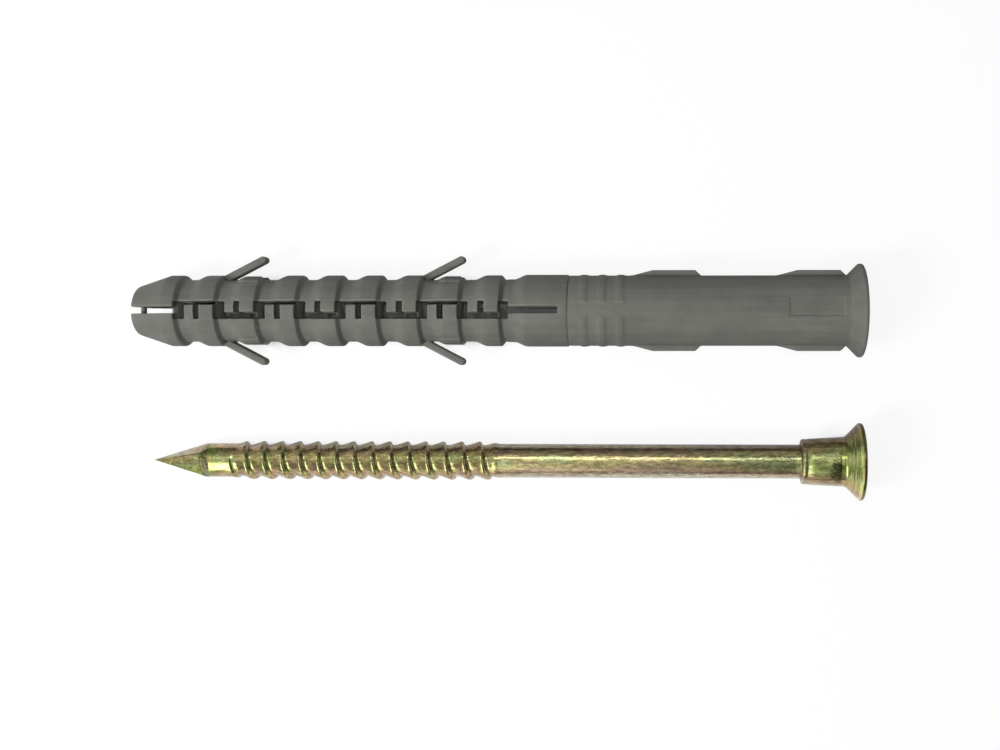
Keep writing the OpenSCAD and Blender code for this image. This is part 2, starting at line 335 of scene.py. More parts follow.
class NodeSheet:
    """A small helper that adds and joins nodes in one node tree."""

    def __init__(self, tree: bpy.types.NodeTree) -> None:
        """Keeps the tree that the nodes go into."""
        self.tree = tree

    def add(self, kind: str, inputs: dict | None = None, **settings: object) -> bpy.types.Node:
        """Adds a node.

        Args:
            kind: The node's type name.
            inputs: Values or output sockets by input name or number.
            settings: Properties of the node, set before its inputs.

        Returns:
            The new node.
        """
        node = self.tree.nodes.new(kind)
        for key, value in settings.items():
            setattr(node, key, value)
        for key, value in (inputs or {}).items():
            self.feed(node.inputs[key], value)
        return node

    def feed(self, socket: Socket, value: object) -> None:
        """Links an output to a socket, or sets the socket's value.

        Args:
            socket: The input socket.
            value: The output socket to link, or the plain value.
        """
        if isinstance(value, bpy.types.NodeSocket):
            self.tree.links.new(value, socket)
        else:
            socket.default_value = value

    def math(self, operation: str, a: object, b: object = 0.0) -> Socket:
        """Adds a Math node and returns its output."""
        return self.add("ShaderNodeMath", {0: a, 1: b}, operation=operation).outputs[0]

    def times(self, a: object, b: object) -> Socket:
        """Multiplies two values."""
        return self.math("MULTIPLY", a, b)

    def plus(self, a: object, b: object) -> Socket:
        """Adds two values."""
        return self.math("ADD", a, b)

    def minus(self, a: object, b: object) -> Socket:
        """Takes the second value from the first."""
        return self.math("SUBTRACT", a, b)

    def vector(self, operation: str, a: object, b: object = (0.0, 0.0, 0.0), out: str = "Vector") -> Socket:
        """Adds a Vector Math node and returns the named output."""
        return self.add("ShaderNodeVectorMath", {0: a, 1: b}, operation=operation).outputs[out]

    def parts(self, vector: object) -> Sockets:
        """Takes a vector apart and returns its X, Y and Z."""
        return self.add("ShaderNodeSeparateXYZ", {0: vector}).outputs

    def place(self) -> Socket:
        """Returns the piece's own coordinates."""
        return self.add("ShaderNodeTexCoord").outputs["Object"]

    def mark(self, name: str) -> Socket:
        """Returns one of the mesh's own attributes."""
        return self.add("ShaderNodeAttribute", attribute_name=name).outputs["Fac"]

    def drawn(self, vector: object, share: float) -> Socket:
        """Shrinks X to the given share, so that a pattern is drawn out along the piece."""
        return self.add("ShaderNodeMapping", {"Vector": vector, "Scale": (share, 1.0, 1.0)}).outputs[0]

    def noise(self, vector: object, scale: object, detail: float, rough: float = 0.5) -> Socket:
        """Adds a Noise Texture and returns its value."""
        inputs = {"Vector": vector, "Scale": scale, "Detail": detail, "Roughness": rough}
        return self.add("ShaderNodeTexNoise", inputs).outputs[0]

    def bump(self, height: Socket, strength: float, depth: float) -> Socket:
        """Adds a Bump node, its depth in millimetres, and returns its normal."""
        inputs = {"Strength": strength, "Distance": depth * MM, "Height": height}
        return self.add("ShaderNodeBump", inputs).outputs[0]

    def share(self, value: object, span: Span, unit: float = 1.0) -> Socket:
        """Tells how far a value has run through the span, from 0 to 1."""
        low, high = (end * unit for end in span)
        return self.add("ShaderNodeMapRange", {"Value": value, 1: low, 2: high}).outputs[0]

    def follow(self, value: object, change: Change, unit: float = 1.0) -> Socket:
        """Makes a change while a value runs through its range.

        Args:
            value: The value that runs.
            change: The change, with its range in the given unit.
            unit: The unit in metres, or one for plain numbers.

        Returns:
            The changing value.
        """
        inputs = {
            "Value": value, 1: change.low * unit, 2: change.high * unit, 3: change.before, 4: change.after}
        return self.add("ShaderNodeMapRange", inputs, interpolation_type="SMOOTHSTEP").outputs[0]

    def rise_and_fall(self, value: object, spots: Fade, level: float = 1.0, unit: float = 1.0) -> Socket:
        """Rises from 0 to a level and falls back again.

        Args:
            value: The value that runs.
            spots: Where the rise starts and ends, and where the fall starts and ends.
            level: The level between them.
            unit: The spots' unit in metres, or one for plain numbers.

        Returns:
            The level at that value.
        """
        rise = self.follow(value, Change(spots[0], spots[1], 0.0, level), unit)
        return self.times(rise, self.follow(value, Change(spots[2], spots[3], 1.0, 0.0), unit))

    def blend(self, factor: object, a: object, b: object) -> Socket:
        """Mixes two values and returns the result."""
        return self.add("ShaderNodeMix", {0: factor, 2: a, 3: b}, data_type="FLOAT").outputs[0]

    def tint(self, factor: object, a: object, b: object, way: str = "MIX") -> Socket:
        """Mixes two colours in the given way and returns the result."""
        return self.add("ShaderNodeMix", {0: factor, 6: a, 7: b}, data_type="RGBA", blend_type=way).outputs[2]

    def shade(self, colour: object, brightness: object, factor: object = 1.0) -> Socket:
        """Multiplies a colour by a brightness, as far as the factor says."""
        return self.tint(factor, colour, brightness, "MULTIPLY")

    def ramp(self, value: object, stops: list[tuple[float, Colour]]) -> Socket:
        """Adds a Color Ramp that eases from stop to stop.

        Args:
            value: The value that runs along the ramp.
            stops: The place and the colour of each stop.

        Returns:
            The ramp's colour.
        """
        node = self.add("ShaderNodeValToRGB", {"Fac": value})
        band = node.color_ramp
        band.interpolation = "EASE"
        while len(band.elements) < len(stops):
            band.elements.new(1.0)
        for element, (spot, colour) in zip(band.elements, stops):
            element.position = spot
            element.color = (*colour, 1.0)
        return node.outputs[0]

    def levels(self, value: object, stops: Stops) -> Socket:
        """Adds a ramp of plain levels and returns its level."""
        return self.ramp(value, [(spot, (level, level, level)) for spot, level in stops])

    def mixed(self, factor: object, a: bpy.types.Node, b: bpy.types.Node) -> bpy.types.Node:
        """Mixes two shaders and returns the mixing node."""
        return self.add("ShaderNodeMixShader", {0: factor, 1: a.outputs[0], 2: b.outputs[0]})

    def surface(self, shader: bpy.types.Node) -> None:
        """Joins a shader to the material's output."""
        self.add("ShaderNodeOutputMaterial", {"Surface": shader.outputs[0]})


class ShaderGroup:
    """A shader node group that is built once and placed in each material with its own values."""

    NAME: str
    INPUTS: tuple[str, ...]
    OUTPUTS: tuple[str, ...]

    @classmethod
    def tree(cls) -> bpy.types.NodeTree:
        """Builds the group when it is first asked for.

        Returns:
            The group's tree, whose first input is the vector Place.
        """
        if cls.NAME in bpy.data.node_groups:
            return bpy.data.node_groups[cls.NAME]
        tree = bpy.data.node_groups.new(cls.NAME, "ShaderNodeTree")
        tree.interface.new_socket("Place", in_out="INPUT", socket_type="NodeSocketVector")
        for way, names in (("INPUT", cls.INPUTS), ("OUTPUT", cls.OUTPUTS)):
            for name in names:
                tree.interface.new_socket(name, in_out=way, socket_type="NodeSocketFloat")
        sheet = NodeSheet(tree)
        made = cls.wire(sheet, sheet.add("NodeGroupInput").outputs)
        sheet.add("NodeGroupOutput", dict(zip(cls.OUTPUTS, made)))
        return tree

    @classmethod
    def wire(cls, sheet: NodeSheet, given: Sockets) -> tuple[Socket, ...]:
        """Adds the group's own nodes and returns its outputs in order."""
        raise NotImplementedError

    @classmethod
    def place(cls, sheet: NodeSheet, *values: object) -> Sockets:
        """Places the group in a material.

        Args:
            sheet: The material's sheet.
            values: The coordinates that the group follows, then its other inputs in order.

        Returns:
            The group's outputs.
        """
        inputs = dict(zip(("Place", *cls.INPUTS), values))
        return sheet.add("ShaderNodeGroup", inputs, node_tree=cls.tree()).outputs


class MottleGroup(ShaderGroup):
    """Broad clouds, fine grain and streaks along the axis, each a noise with its detail and roughness."""

    NAME = "mottle_and_streaks"
    INPUTS = ("Cloud Scale", "Grain Scale", "Streak Scale")
    OUTPUTS = ("Cloud", "Grain", "Streak")
    CLOUD: Span = (4.0, 0.55)
    GRAIN: Span = (3.0, 0.6)
    STREAK: Span = (5.0, 0.6)
    STREAK_DRAW = 0.035

    @classmethod
    def wire(cls, sheet: NodeSheet, given: Sockets) -> tuple[Socket, ...]:
        """Adds the three noises and returns them in the outputs' order.

        Args:
            sheet: The group's sheet.
            given: The group's inputs.

        Returns:
            The clouds, the grain and the streaks.
        """
        place = given["Place"]
        cloud = sheet.noise(place, given["Cloud Scale"], *cls.CLOUD)
        grain = sheet.noise(place, given["Grain Scale"], *cls.GRAIN)
        streak = sheet.noise(sheet.drawn(place, cls.STREAK_DRAW), given["Streak Scale"], *cls.STREAK)
        return cloud, grain, streak


class EdgeWearGroup(ShaderGroup):
    """Broken wear along edges and a broken mask of the hollows, from the mark that the mesh carries."""

    NAME = "edge_wear"
    INPUTS = ("Edge", "Patch Scale", "Patchiness")
    OUTPUTS = ("Worn", "Hollow")
    PATCH: Span = (3.0, 0.6)
    WORN = Change(0.12, 0.6, 0.0, 1.0)
    HOLLOW = Change(0.1, 0.55, 0.0, 1.0)

    @classmethod
    def wire(cls, sheet: NodeSheet, given: Sockets) -> tuple[Socket, ...]:
        """Adds the nodes that break up the mark.

        Args:
            sheet: The group's sheet.
            given: The group's inputs.

        Returns:
            The masks of worn edges and of hollows.
        """
        patch = sheet.noise(given["Place"], given["Patch Scale"], *cls.PATCH)
        shift = sheet.times(sheet.minus(patch, NOISE_MIDDLE), given["Patchiness"])
        worn = sheet.follow(sheet.plus(given["Edge"], shift), cls.WORN)
        hollow = sheet.follow(sheet.minus(shift, given["Edge"]), cls.HOLLOW)
        return worn, hollow


def start_material(name: str) -> tuple[bpy.types.Material, NodeSheet]:
    """Makes an empty material.

    Args:
        name: Name of the material.

    Returns:
        The material and a sheet for its nodes.
    """
    material = bpy.data.materials.new(name)
    material.use_nodes = True
    material.node_tree.nodes.clear()
    return material, NodeSheet(material.node_tree)


# Finishes


@dataclass(frozen=True)
class NylonFinish:
    """Satin grey nylon, as it comes from a mould, with lengths in millimetres and scales per metre."""

    lay: Lay = SLEEVE_LAY
    light: Colour = (0.126, 0.129, 0.113)
    dark: Colour = (0.112, 0.115, 0.101)
    rubbed: Colour = (0.20, 0.20, 0.18)
    ior: float = 1.53
    mottle_scales: Point = (260.0, 5200.0, 900.0)
    cloud: Change = Change(0.3, 0.7, 0.0, 1.0)
    flow: Change = Change(0.35, 0.65, 0.94, 1.05)
    speck: Change = Change(0.3, 0.7, 0.95, 1.05)
    rough: Change = Change(0.3, 0.7, 0.68, 0.56)
    # Scale of the wear's patches and how far they break it up
    patches: Span = (1400.0, 0.5)
    worn_share: float = 0.5
    worn_polish: float = 0.1
    # Painted shade in the hollows
    painted_hollow_shade: Change = Change(0.0, 1.0, 1.0, 0.42)
    # Strength and depth of the grain
    relief: Span = (0.35, 0.03)
    # Painted light inside the split and the bore, by distance from the axis and by place along it
    inner_light: Change = Change(3.0, 4.1, 1.2, 0.0)
    inner_light_start: Change = Change(-47.2, -46.2, 0.0, 1.0)

    def painted_inner_light(self, sheet: NodeSheet, place: Socket) -> Socket:
        """Gives the painted light inside the split and the bore, as a brightness.

        Args:
            sheet: The material's sheet.
            place: The coordinates that the sleeve is set in.

        Returns:
            The brightness, one on the outside.
        """
        tip_x, tip_y, tip_z = self.lay.tip
        rise = math.tan(math.radians(self.lay.tilt_deg))
        part = sheet.parts(place)
        across = sheet.minus(part[1], tip_y * MM)
        height = sheet.plus(sheet.times(part[0], rise), (tip_z - tip_x * rise) * MM)
        flat = sheet.add("ShaderNodeCombineXYZ", {1: across, 2: sheet.minus(part[2], height)}).outputs[0]
        inside = sheet.follow(sheet.vector("LENGTH", flat, out="Value"), self.inner_light, MM)
        return sheet.plus(sheet.times(inside, sheet.follow(part[0], self.inner_light_start, MM)), 1.0)

    def material(self) -> bpy.types.Material:
        """Builds the material.

        Returns:
            The material.
        """
        material, sheet = start_material("satin_nylon")
        place = sheet.place()
        mottle = MottleGroup.place(sheet, place, *self.mottle_scales)
        wear = EdgeWearGroup.place(sheet, place, sheet.mark(EDGE_MARK), *self.patches)
        cloud = sheet.follow(mottle["Cloud"], self.cloud)
        tone = sheet.tint(cloud, (*self.dark, 1.0), (*self.light, 1.0))
        tone = sheet.shade(tone, sheet.follow(mottle["Streak"], self.flow))
        tone = sheet.shade(tone, sheet.follow(mottle["Grain"], self.speck))
        tone = sheet.tint(sheet.times(wear["Worn"], self.worn_share), tone, (*self.rubbed, 1.0))
        # Painted shade in the hollows, and painted light inside the split and the bore
        painted_hollow_shade = sheet.follow(wear["Hollow"], self.painted_hollow_shade)
        tone = sheet.shade(tone, sheet.times(painted_hollow_shade, self.painted_inner_light(sheet, place)))
        rough = sheet.follow(mottle["Cloud"], self.rough)
        rough = sheet.minus(rough, sheet.times(wear["Worn"], self.worn_polish))
        sheet.surface(sheet.add("ShaderNodeBsdfPrincipled", {
            "Base Color": tone,
            "Roughness": rough,
            "IOR": self.ior,
            "Normal": sheet.bump(mottle["Grain"], *self.relief)}))
        return material


class FilmTint(Enum):
    """The tints that the yellow film runs through as it gets thicker or is seen more edge-on."""

    STRAW = (0.54, 0.45, 0.18)
    GREEN = (0.44, 0.51, 0.15)
    OLIVE = (0.47, 0.50, 0.22)
    TAN = (0.56, 0.45, 0.23)
    ROSE = (0.50, 0.34, 0.20)
    BLUSH = (0.53, 0.45, 0.31)
    PALE = (0.56, 0.52, 0.43)


@dataclass(frozen=True)
class YellowZincFinish:
    """Zinc plating with a yellow passivation, whose film shimmers from olive to rose.

    Places along the screw are millimetres from the middle of the scene, and scales are per metre.
    """

    lay: Lay = SCREW_LAY
    bare: Colour = (0.68, 0.64, 0.48)
    grime: Colour = (0.16, 0.12, 0.06)
    mottle_scales: Point = (700.0, 5200.0, 2400.0)
    streak_tone: Change = Change(0.3, 0.7, 0.84, 1.1)
    grain_tone: Change = Change(0.35, 0.65, 0.8, 1.14)
    rough: Change = Change(0.3, 0.7, 0.14, 0.22)
    # How much of the length a drawn-out pattern keeps
    drawn_out: float = 0.3

    # The film: its tints by thickness, and its thickness along the screw and on its under side
    tints: tuple[tuple[float, FilmTint], ...] = (
        (0.02, FilmTint.STRAW), (0.12, FilmTint.GREEN), (0.25, FilmTint.OLIVE), (0.33, FilmTint.STRAW),
        (0.40, FilmTint.TAN), (0.50, FilmTint.ROSE), (0.66, FilmTint.BLUSH), (0.95, FilmTint.PALE))
    span: Span = (-49.3, 50.2)
    coat: Stops = (
        (0.0, 0.13), (0.05, 0.13), (0.07, 0.0), (0.09, 0.0), (0.1, 0.21), (0.22, 0.22), (0.3, 0.24),
        (0.47, 0.24), (0.5, 0.34), (0.68, 0.35), (0.78, 0.39), (0.87, 0.3), (0.93, 0.23), (0.965, 0.21),
        (0.98, 0.02))
    coat_less: float = 0.3
    thin_side: Change = Change(-13.4, -11.8, 0.14, 0.0)
    thin_run: Change = Change(0.46, 0.5, 1.0, 0.0)
    film_scale: float = 520.0
    film_detail: float = 4.0
    cloud_share: float = 0.5
    edge_on_share: float = 0.85
    facing_blend: float = 0.5

    # Wear: scale of the patches and how far they break it up, and how much shows
    patches: Span = (1800.0, 0.5)
    worn_share: float = 0.2
    grime_share: Change = Change(44.0, 45.5, 0.75, 0.1)
    hollow_dull: float = 0.15

    # The plain shank's gloss and the duller collar
    shank: Fade = (-0.5, 0.5, 41.0, 41.5)
    shank_gloss: float = 0.5
    gloss_rough: float = 0.2
    gloss_ior: float = 1.9
    collar: Fade = (41.4, 41.8, 46.4, 46.9)
    collar_dull: float = 0.12

    # Small dents, and the turned head that has few of them but fine rings
    peel_scale: float = 2800.0
    peel_detail: float = 2.0
    peel_tone: Change = Change(0.32, 0.68, 0.66, 1.24)
    turned: Change = Change(46.5, 47.5, 1.0, 0.3)
    ring_scale: float = 2400.0
    ring_detail: float = 2.0
    ring_start: Change = Change(46.7, 47.3, 0.0, 1.0)
    ring_tone: float = 1.1
    ring_relief: float = 1.6
    fine_relief: float = 0.35
    # Strength and depth of the relief
    relief: Span = (0.65, 0.05)

    # Painted shade where the point swells, a painted highlight line before the head's rim, and a painted dark
    # reflection on the rim
    swell: Fade = (-42.1, -41.7, -41.0, -40.6)
    painted_swell_shade: float = 0.5
    painted_rim_highlight: Change = Change(49.3, 49.45, 1.0, 1.7)
    rim_dark_start: Change = Change(49.6, 49.78, 1.0, 0.22353)
    rim_dark_end: Change = Change(50.03, 50.08, 0.0, 1.0)

    # The painted dark reflection on the collar: its middle, how it is drawn out, how ragged its edge is, and
    # how dark
    dark_reflection_at: Point = (46.15, -12.7, 8.45)
    dark_reflection_shape: Point = (1.2, 0.6, 0.6)
    dark_reflection_ragged: float = 1.9
    dark_reflection_tone: Change = Change(0.45, 1.5, 0.2, 1.0)

    def film(self, sheet: NodeSheet, place: Socket, along: Socket) -> Socket:
        """Gives the film's tint, which changes with its thickness and with the angle it is seen at.

        Args:
            sheet: The material's sheet.
            place: The coordinates that the film follows.
            along: The place along the screw.

        Returns:
            The tint.
        """
        cloud = sheet.noise(sheet.drawn(place, self.drawn_out), self.film_scale, self.film_detail)
        edge_on = sheet.add("ShaderNodeLayerWeight", {"Blend": self.facing_blend}).outputs["Facing"]
        depth = sheet.plus(sheet.times(cloud, self.cloud_share), sheet.times(edge_on, self.edge_on_share))
        run = sheet.share(along, self.span, MM)
        coat = sheet.minus(sheet.levels(run, self.coat), self.coat_less)
        thin = sheet.follow(sheet.parts(place)[1], self.thin_side, MM)
        coat = sheet.minus(coat, sheet.times(thin, sheet.follow(run, self.thin_run)))
        return sheet.ramp(sheet.plus(depth, coat), [(spot, tint.value) for spot, tint in self.tints])

    def turning_marks(self, sheet: NodeSheet, along: Socket) -> Socket:
        """Gives the fine rings that turning left on the head.

        Args:
            sheet: The material's sheet.
            along: The place along the screw.

        Returns:
            The rings' height, above and below zero.
        """
        inputs = {"W": along, "Scale": self.ring_scale, "Detail": self.ring_detail}
        rings = sheet.add("ShaderNodeTexNoise", inputs, noise_dimensions="1D").outputs[0]
        return sheet.times(sheet.minus(rings, NOISE_MIDDLE), sheet.follow(along, self.ring_start, MM))

    def painted_shading(self, sheet: NodeSheet, along: Socket) -> Socket:
        """Gives the painted shading along the screw: painted shade where the point swells, a painted
        highlight line before the head's rim and a painted dark reflection on the rim.

        Args:
            sheet: The material's sheet.
            along: The place along the screw.

        Returns:
            The brightness, one where nothing dims or brightens it.
        """
        # Painted shade where the point swells
        swell = sheet.minus(1.0, sheet.rise_and_fall(along, self.swell, self.painted_swell_shade, MM))
        # Painted highlight line before the head's rim, then a painted dark reflection on the rim
        rim = sheet.times(sheet.follow(along, self.painted_rim_highlight, MM), sheet.follow(along, self.rim_dark_start, MM))
        rim = sheet.math("MAXIMUM", rim, sheet.follow(along, self.rim_dark_end, MM))
        return sheet.times(swell, rim)

    def painted_dark_reflection(self, sheet: NodeSheet, place: Socket, mottle: Sockets) -> Socket:
        """Gives the painted dark reflection on the collar, as a brightness.

        Args:
            sheet: The material's sheet.
            place: The coordinates that the stain is set in.
            mottle: The mottling that makes its edge ragged.

        Returns:
            The brightness, one away from the painted reflection.
        """
        away = sheet.vector("SUBTRACT", place, tuple(value * MM for value in self.dark_reflection_at))
        far = sheet.vector("LENGTH", sheet.vector("MULTIPLY", away, self.dark_reflection_shape), out="Value")
        ragged = sheet.minus(sheet.plus(mottle["Cloud"], mottle["Grain"]), 2 * NOISE_MIDDLE)
        far = sheet.plus(far, sheet.times(ragged, self.dark_reflection_ragged * MM))
        return sheet.follow(far, self.dark_reflection_tone, MM)

    def material(self) -> bpy.types.Material:
        """Builds the material.

        Returns:
            The material.
        """
        material, sheet = start_material("yellow_zinc")
        place = sheet.place()
        along = sheet.vector("DOT_PRODUCT", place, self.lay.axis(), "Value")
        mottle = MottleGroup.place(sheet, place, *self.mottle_scales)
        wear = EdgeWearGroup.place(sheet, place, sheet.mark(EDGE_MARK), *self.patches)
        peel = sheet.noise(sheet.drawn(place, self.drawn_out), self.peel_scale, self.peel_detail)
        turned = sheet.follow(along, self.turned, MM)
        rings = self.turning_marks(sheet, along)

        tint = sheet.shade(self.film(sheet, place, along), sheet.follow(mottle["Streak"], self.streak_tone))
        tint = sheet.shade(tint, sheet.follow(peel, self.peel_tone), turned)
        tint = sheet.shade(tint, sheet.follow(mottle["Grain"], self.grain_tone), turned)
        tint = sheet.shade(tint, sheet.plus(sheet.times(rings, self.ring_tone), 1.0))
        grimy = sheet.times(wear["Hollow"], sheet.follow(along, self.grime_share, MM))
        tint = sheet.tint(grimy, tint, (*self.grime, 1.0))
        tint = sheet.tint(sheet.times(wear["Worn"], self.worn_share), tint, (*self.bare, 1.0))
        # Painted dark reflection on the collar, and the painted shading along the screw
        tint = sheet.shade(tint, sheet.times(self.painted_dark_reflection(sheet, place, mottle), self.painted_shading(sheet, along)))

        dull = sheet.times(wear["Hollow"], self.hollow_dull)
        dull = sheet.plus(dull, sheet.rise_and_fall(along, self.collar, self.collar_dull, MM))
        rough = sheet.plus(sheet.follow(mottle["Cloud"], self.rough), dull)
        fine = sheet.times(sheet.plus(mottle["Streak"], mottle["Grain"]), self.fine_relief)
        height = sheet.times(sheet.plus(peel, fine), turned)
        height = sheet.plus(height, sheet.times(rings, self.ring_relief))
        sheet.surface(sheet.add("ShaderNodeBsdfPrincipled", {
            "Base Color": tint,
            "Metallic": 1.0,
            "Roughness": rough,
            "Normal": sheet.bump(height, *self.relief),
            "Coat Weight": sheet.rise_and_fall(along, self.shank, self.shank_gloss, MM),
            "Coat Roughness": self.gloss_rough,
            "Coat IOR": self.gloss_ior}))
        return material


# The sleeve


class Side(Enum):
    """The two sides of the sleeve: its under side is its upper side turned half round the axis."""

    UPPER = 1
    UNDER = -1

    def covers(self, heights: np.ndarray) -> np.ndarray:
        """Tells which heights lie on this side."""
        return heights * self.value > 0

    def turned(self, table: np.ndarray) -> np.ndarray:
        """Turns a table of the upper side, whose columns run across the axis, to this side."""
        return table[:, ::self.value]


class Block:
    """A solid as distances on a grid that is even on both sides of the axis, negative inside."""

    def __init__(self, along: Span, reach: Span, step: float) -> None:
        """Sets out the grid.

        Args:
            along: Where it starts and ends along the axis.
            reach: How far it reaches across the axis and up.
            step: Distance between its points.
        """
        self.step = step
        self.xs = np.arange(*along, step, dtype=np.float32)
        self.ys, self.zs = (self.mirrored(far) for far in reach)
        self.x, self.y, self.z = self.xs[:, None, None], self.ys[None, :, None], self.zs[None, None, :]
        self.rho = np.sqrt(self.y * self.y + self.z * self.z)
        self.out, self.up = np.abs(self.y), np.abs(self.z)
        self.d = np.empty((len(self.xs), len(self.ys), len(self.zs)), dtype=np.float32)

    def mirrored(self, far: float) -> np.ndarray:
        """Gives places on both sides of the axis."""
        one_side = np.arange(self.step / 2, far, self.step, dtype=np.float32)
        return np.concatenate([-one_side[::-1], one_side])

    def start(self) -> Vector:
        """Gives the place of the first point."""
        return Vector((float(self.xs[0]), float(self.ys[0]), float(self.zs[0])))

    def slant(self, radii: np.ndarray) -> np.ndarray:
        """Gives how much longer a sloping outline is than its run along the axis."""
        return np.sqrt(1 + np.gradient(radii, self.step) ** 2)

    def rect(self, rect: Rect) -> np.ndarray:
        """Gives the distances to a rectangle as seen from above."""
        return box_distance(self.xs[:, None], self.ys[None, :], rect)

    def cut(self, solid: np.ndarray, round_mm: float) -> None:
        """Cuts a solid away and leaves round edges."""
        self.d = soft_max(self.d, -solid, round_mm)

    def join(self, solid: np.ndarray, fillet_mm: float) -> None:
        """Joins a solid on with a fillet."""
        self.d = soft_min(self.d, solid, fillet_mm)


@dataclass
class ExpansionSleeve:
    """The moulded sleeve, shaped as a field of distances so that every edge is as soft as a moulded one.

    Sizes are millimetres, and places along the axis count from the nose.
    """

    lay: Lay = SLEEVE_LAY
    length: float = 100.0
    body_r: float = 4.9
    rear_r: float = 4.85
    # Nose
    nose_r: float = 3.3
    nose_length: float = 4.75
    nose_round: float = 0.55
    nose_taper: float = 0.36
    # Rings
    first_drop: float = 6.45
    ring_count: int = 8
    ring_pitch: float = 5.5
    valley_r: float = 4.275
    drop_length: float = 0.5
    valley_length: float = 1.15
    ramp_length: float = 1.95
    ramp_steps: int = 12
    # Neck, and the parting line that ends it
    neck_end: float = 59.75
    neck_step: float = 0.03
    parting_width: float = 0.3
    parting_depth: float = 0.1
    # Ribs, which break off along the middle
    rib_count: int = 3
    rib_first: float = 61.85
    rib_pitch: float = 2.5
    rib_width: float = 1.4
    rib_top: float = 0.28
    rib_height: float = 0.12
    rib_break: float = 1.9
    rib_fade: float = 0.1
    # Fins
    fin_r: float = 5.57
    fin_width: float = 1.6
    fin_starts: Span = (68.1, 88.0)
    fin_ramp: float = 3.1
    fin_top: float = 5.9
    fin_back: float = 0.85
    fin_sink: float = 0.1
    fin_round: float = 0.3
    fin_fillet: float = 0.12
    # Flange
    flange_r: float = 6.45
    flange_start: float = 97.85
    flange_rim: float = 0.55
    face_round: float = 0.3
    # Split
    nose_slot: float = 0.9
    slot_overlap: float = 0.1
    neck_slit: float = 0.9
    neck_slit_end: float = 58.45
    split_band: float = 2.4
    narrow_slit: float = 0.5
    wide_slit: float = 0.92
    split_draft: float = 0.07
    draft_overlap: float = 0.3
    split_round: float = 0.14
    window_length: float = 1.35
    notch_width: float = 0.85
    notch_offset: float = 3.15
    # Web that bridges the split at the nose
    web_offset: float = 0.25
    web_length: float = 0.62
    web_thickness: float = 0.8
    web_fillet: float = 0.08
    # Barbs and the pockets they fold into
    barb_crests: tuple[int, int] = (1, 6)
    barb_thickness: float = 1.0
    barb_width: float = 1.9
    barb_angle: float = 27.5
    barb_length: float = 6.1
    barb_root: float = 1.7
    barb_sink: float = 0.7
    barb_round: float = 0.3
    barb_fillet: float = 0.2
    barb_play: float = 0.25
    pocket_round: float = 0.12
    # Bore, from the tip to the seat for the screw's head
    tip_bore_r: float = 1.1
    grip_bore_r: float = 1.7
    bore_r: float = 2.825
    bore_funnel: float = 4.0
    collar_bore_r: float = 3.525
    collar_bore_start: float = 91.775
    collar_step: float = 0.06
    seat: Span = (97.475, 99.4)
    seat_r: float = 5.45
    bore_round: float = 0.16
    # Sunk panel beside the flange
    panel: Span = (89.6, 96.95)
    panel_middle: float = 0.38
    panel_width: float = 2.55
    panel_depth: float = 0.1
    panel_round: float = 0.05
    # Mould marks: a ledge on the neck, lips along the split and grooves beside the barbs
    ledge_height: float = 0.06
    ledge_start: Span = (0.6, 1.0)
    ledge_side: Span = (0.55, 0.7)
    lip_height: float = 0.08
    lip_width: float = 0.14
    lip_start: Span = (0.5, 0.8)
    lip_end: float = 0.3
    groove_depth: float = 0.14
    groove_start: Span = (2.0, 2.4)
    groove_end: float = 0.2
    groove_inset: float = 0.5
    # Grid
    overrun: float = 1.0
    margin: float = 0.6
    reach: Span = (8.4, 6.9)
    step: float = 0.125
    far_off: float = 1000.0
    most_triangles: int = 190000

    def drop_at(self, ring: int) -> float:
        """Gives the place where a ring drops, counted from the nose's own edge."""
        return self.first_drop + ring * self.ring_pitch

    def outline(self) -> tuple[list[float], list[float]]:
        """Sets out the outside.

        Returns:
            Its stations along the axis and their radii.
        """
        spots = [
            (-self.overrun, self.nose_r - self.nose_taper),
            (0.0, self.nose_r),
            (self.nose_length, self.body_r)]
        for ring in range(self.ring_count + 1):
            x = self.drop_at(ring)
            spots += [(x, self.body_r), (x + self.drop_length, self.valley_r)]
            x += self.drop_length + self.valley_length
            for i in range(self.ramp_steps + 1):
                share = (1 - math.cos(math.pi * i / self.ramp_steps)) / 2
                r = self.valley_r + (self.body_r - self.valley_r) * share
                spots.append((x + self.ramp_length * i / self.ramp_steps, r))
        spots += [
            (self.neck_end - self.neck_step, self.body_r),
            (self.neck_end + self.neck_step, self.rear_r),
            (self.flange_start, self.rear_r),
            (self.length - self.flange_rim, self.flange_r),
            (self.length + self.overrun, self.flange_r)]
        return [x for x, _ in spots], [r for _, r in spots]

    def split_rects(self) -> list[Rect]:
        """Sets out the split on the upper side, as seen from above.

        Returns:
            The rectangles that make it up.
        """
        half, slot, slit = self.split_band / 2, self.nose_slot / 2, self.neck_slit / 2
        rects = [(-2 * self.overrun, self.first_drop + self.slot_overlap, -slot, slot)]
        for ring in range(self.ring_count + 1):
            x = self.drop_at(ring)
            rects.append((x, x + self.window_length, -half, half))
        for ring in range(self.ring_count):
            x = self.drop_at(ring)
            if ring % 2:
                rects.append((x, x + self.ring_pitch, -half, self.wide_slit - half))
            else:
                rects.append((x, x + self.ring_pitch, half - self.narrow_slit, half))
            middle = x + self.notch_offset
            rects.append((middle - self.notch_width / 2, middle + self.notch_width / 2, -half, half))
        rects.append((self.drop_at(self.ring_count), self.neck_slit_end, -slit, slit))
        return rects

    def on_ring(self, ring: int, xs: np.ndarray, start: Span, end: float) -> np.ndarray:
        """Gives where a mark lies along one ring.

        Args:
            ring: Number of the ring.
            xs: Stations along the axis.
            start: Where the mark starts and is full, behind the ring's drop.
            end: How far before the next drop it starts to fade.

        Returns:
            The share of the mark's height at each station.
        """
        x = self.drop_at(ring)
        fade = smooth_step(-x - self.ring_pitch, -x - self.ring_pitch + end, -xs)
        return smooth_step(x + start[0], x + start[1], xs) * fade

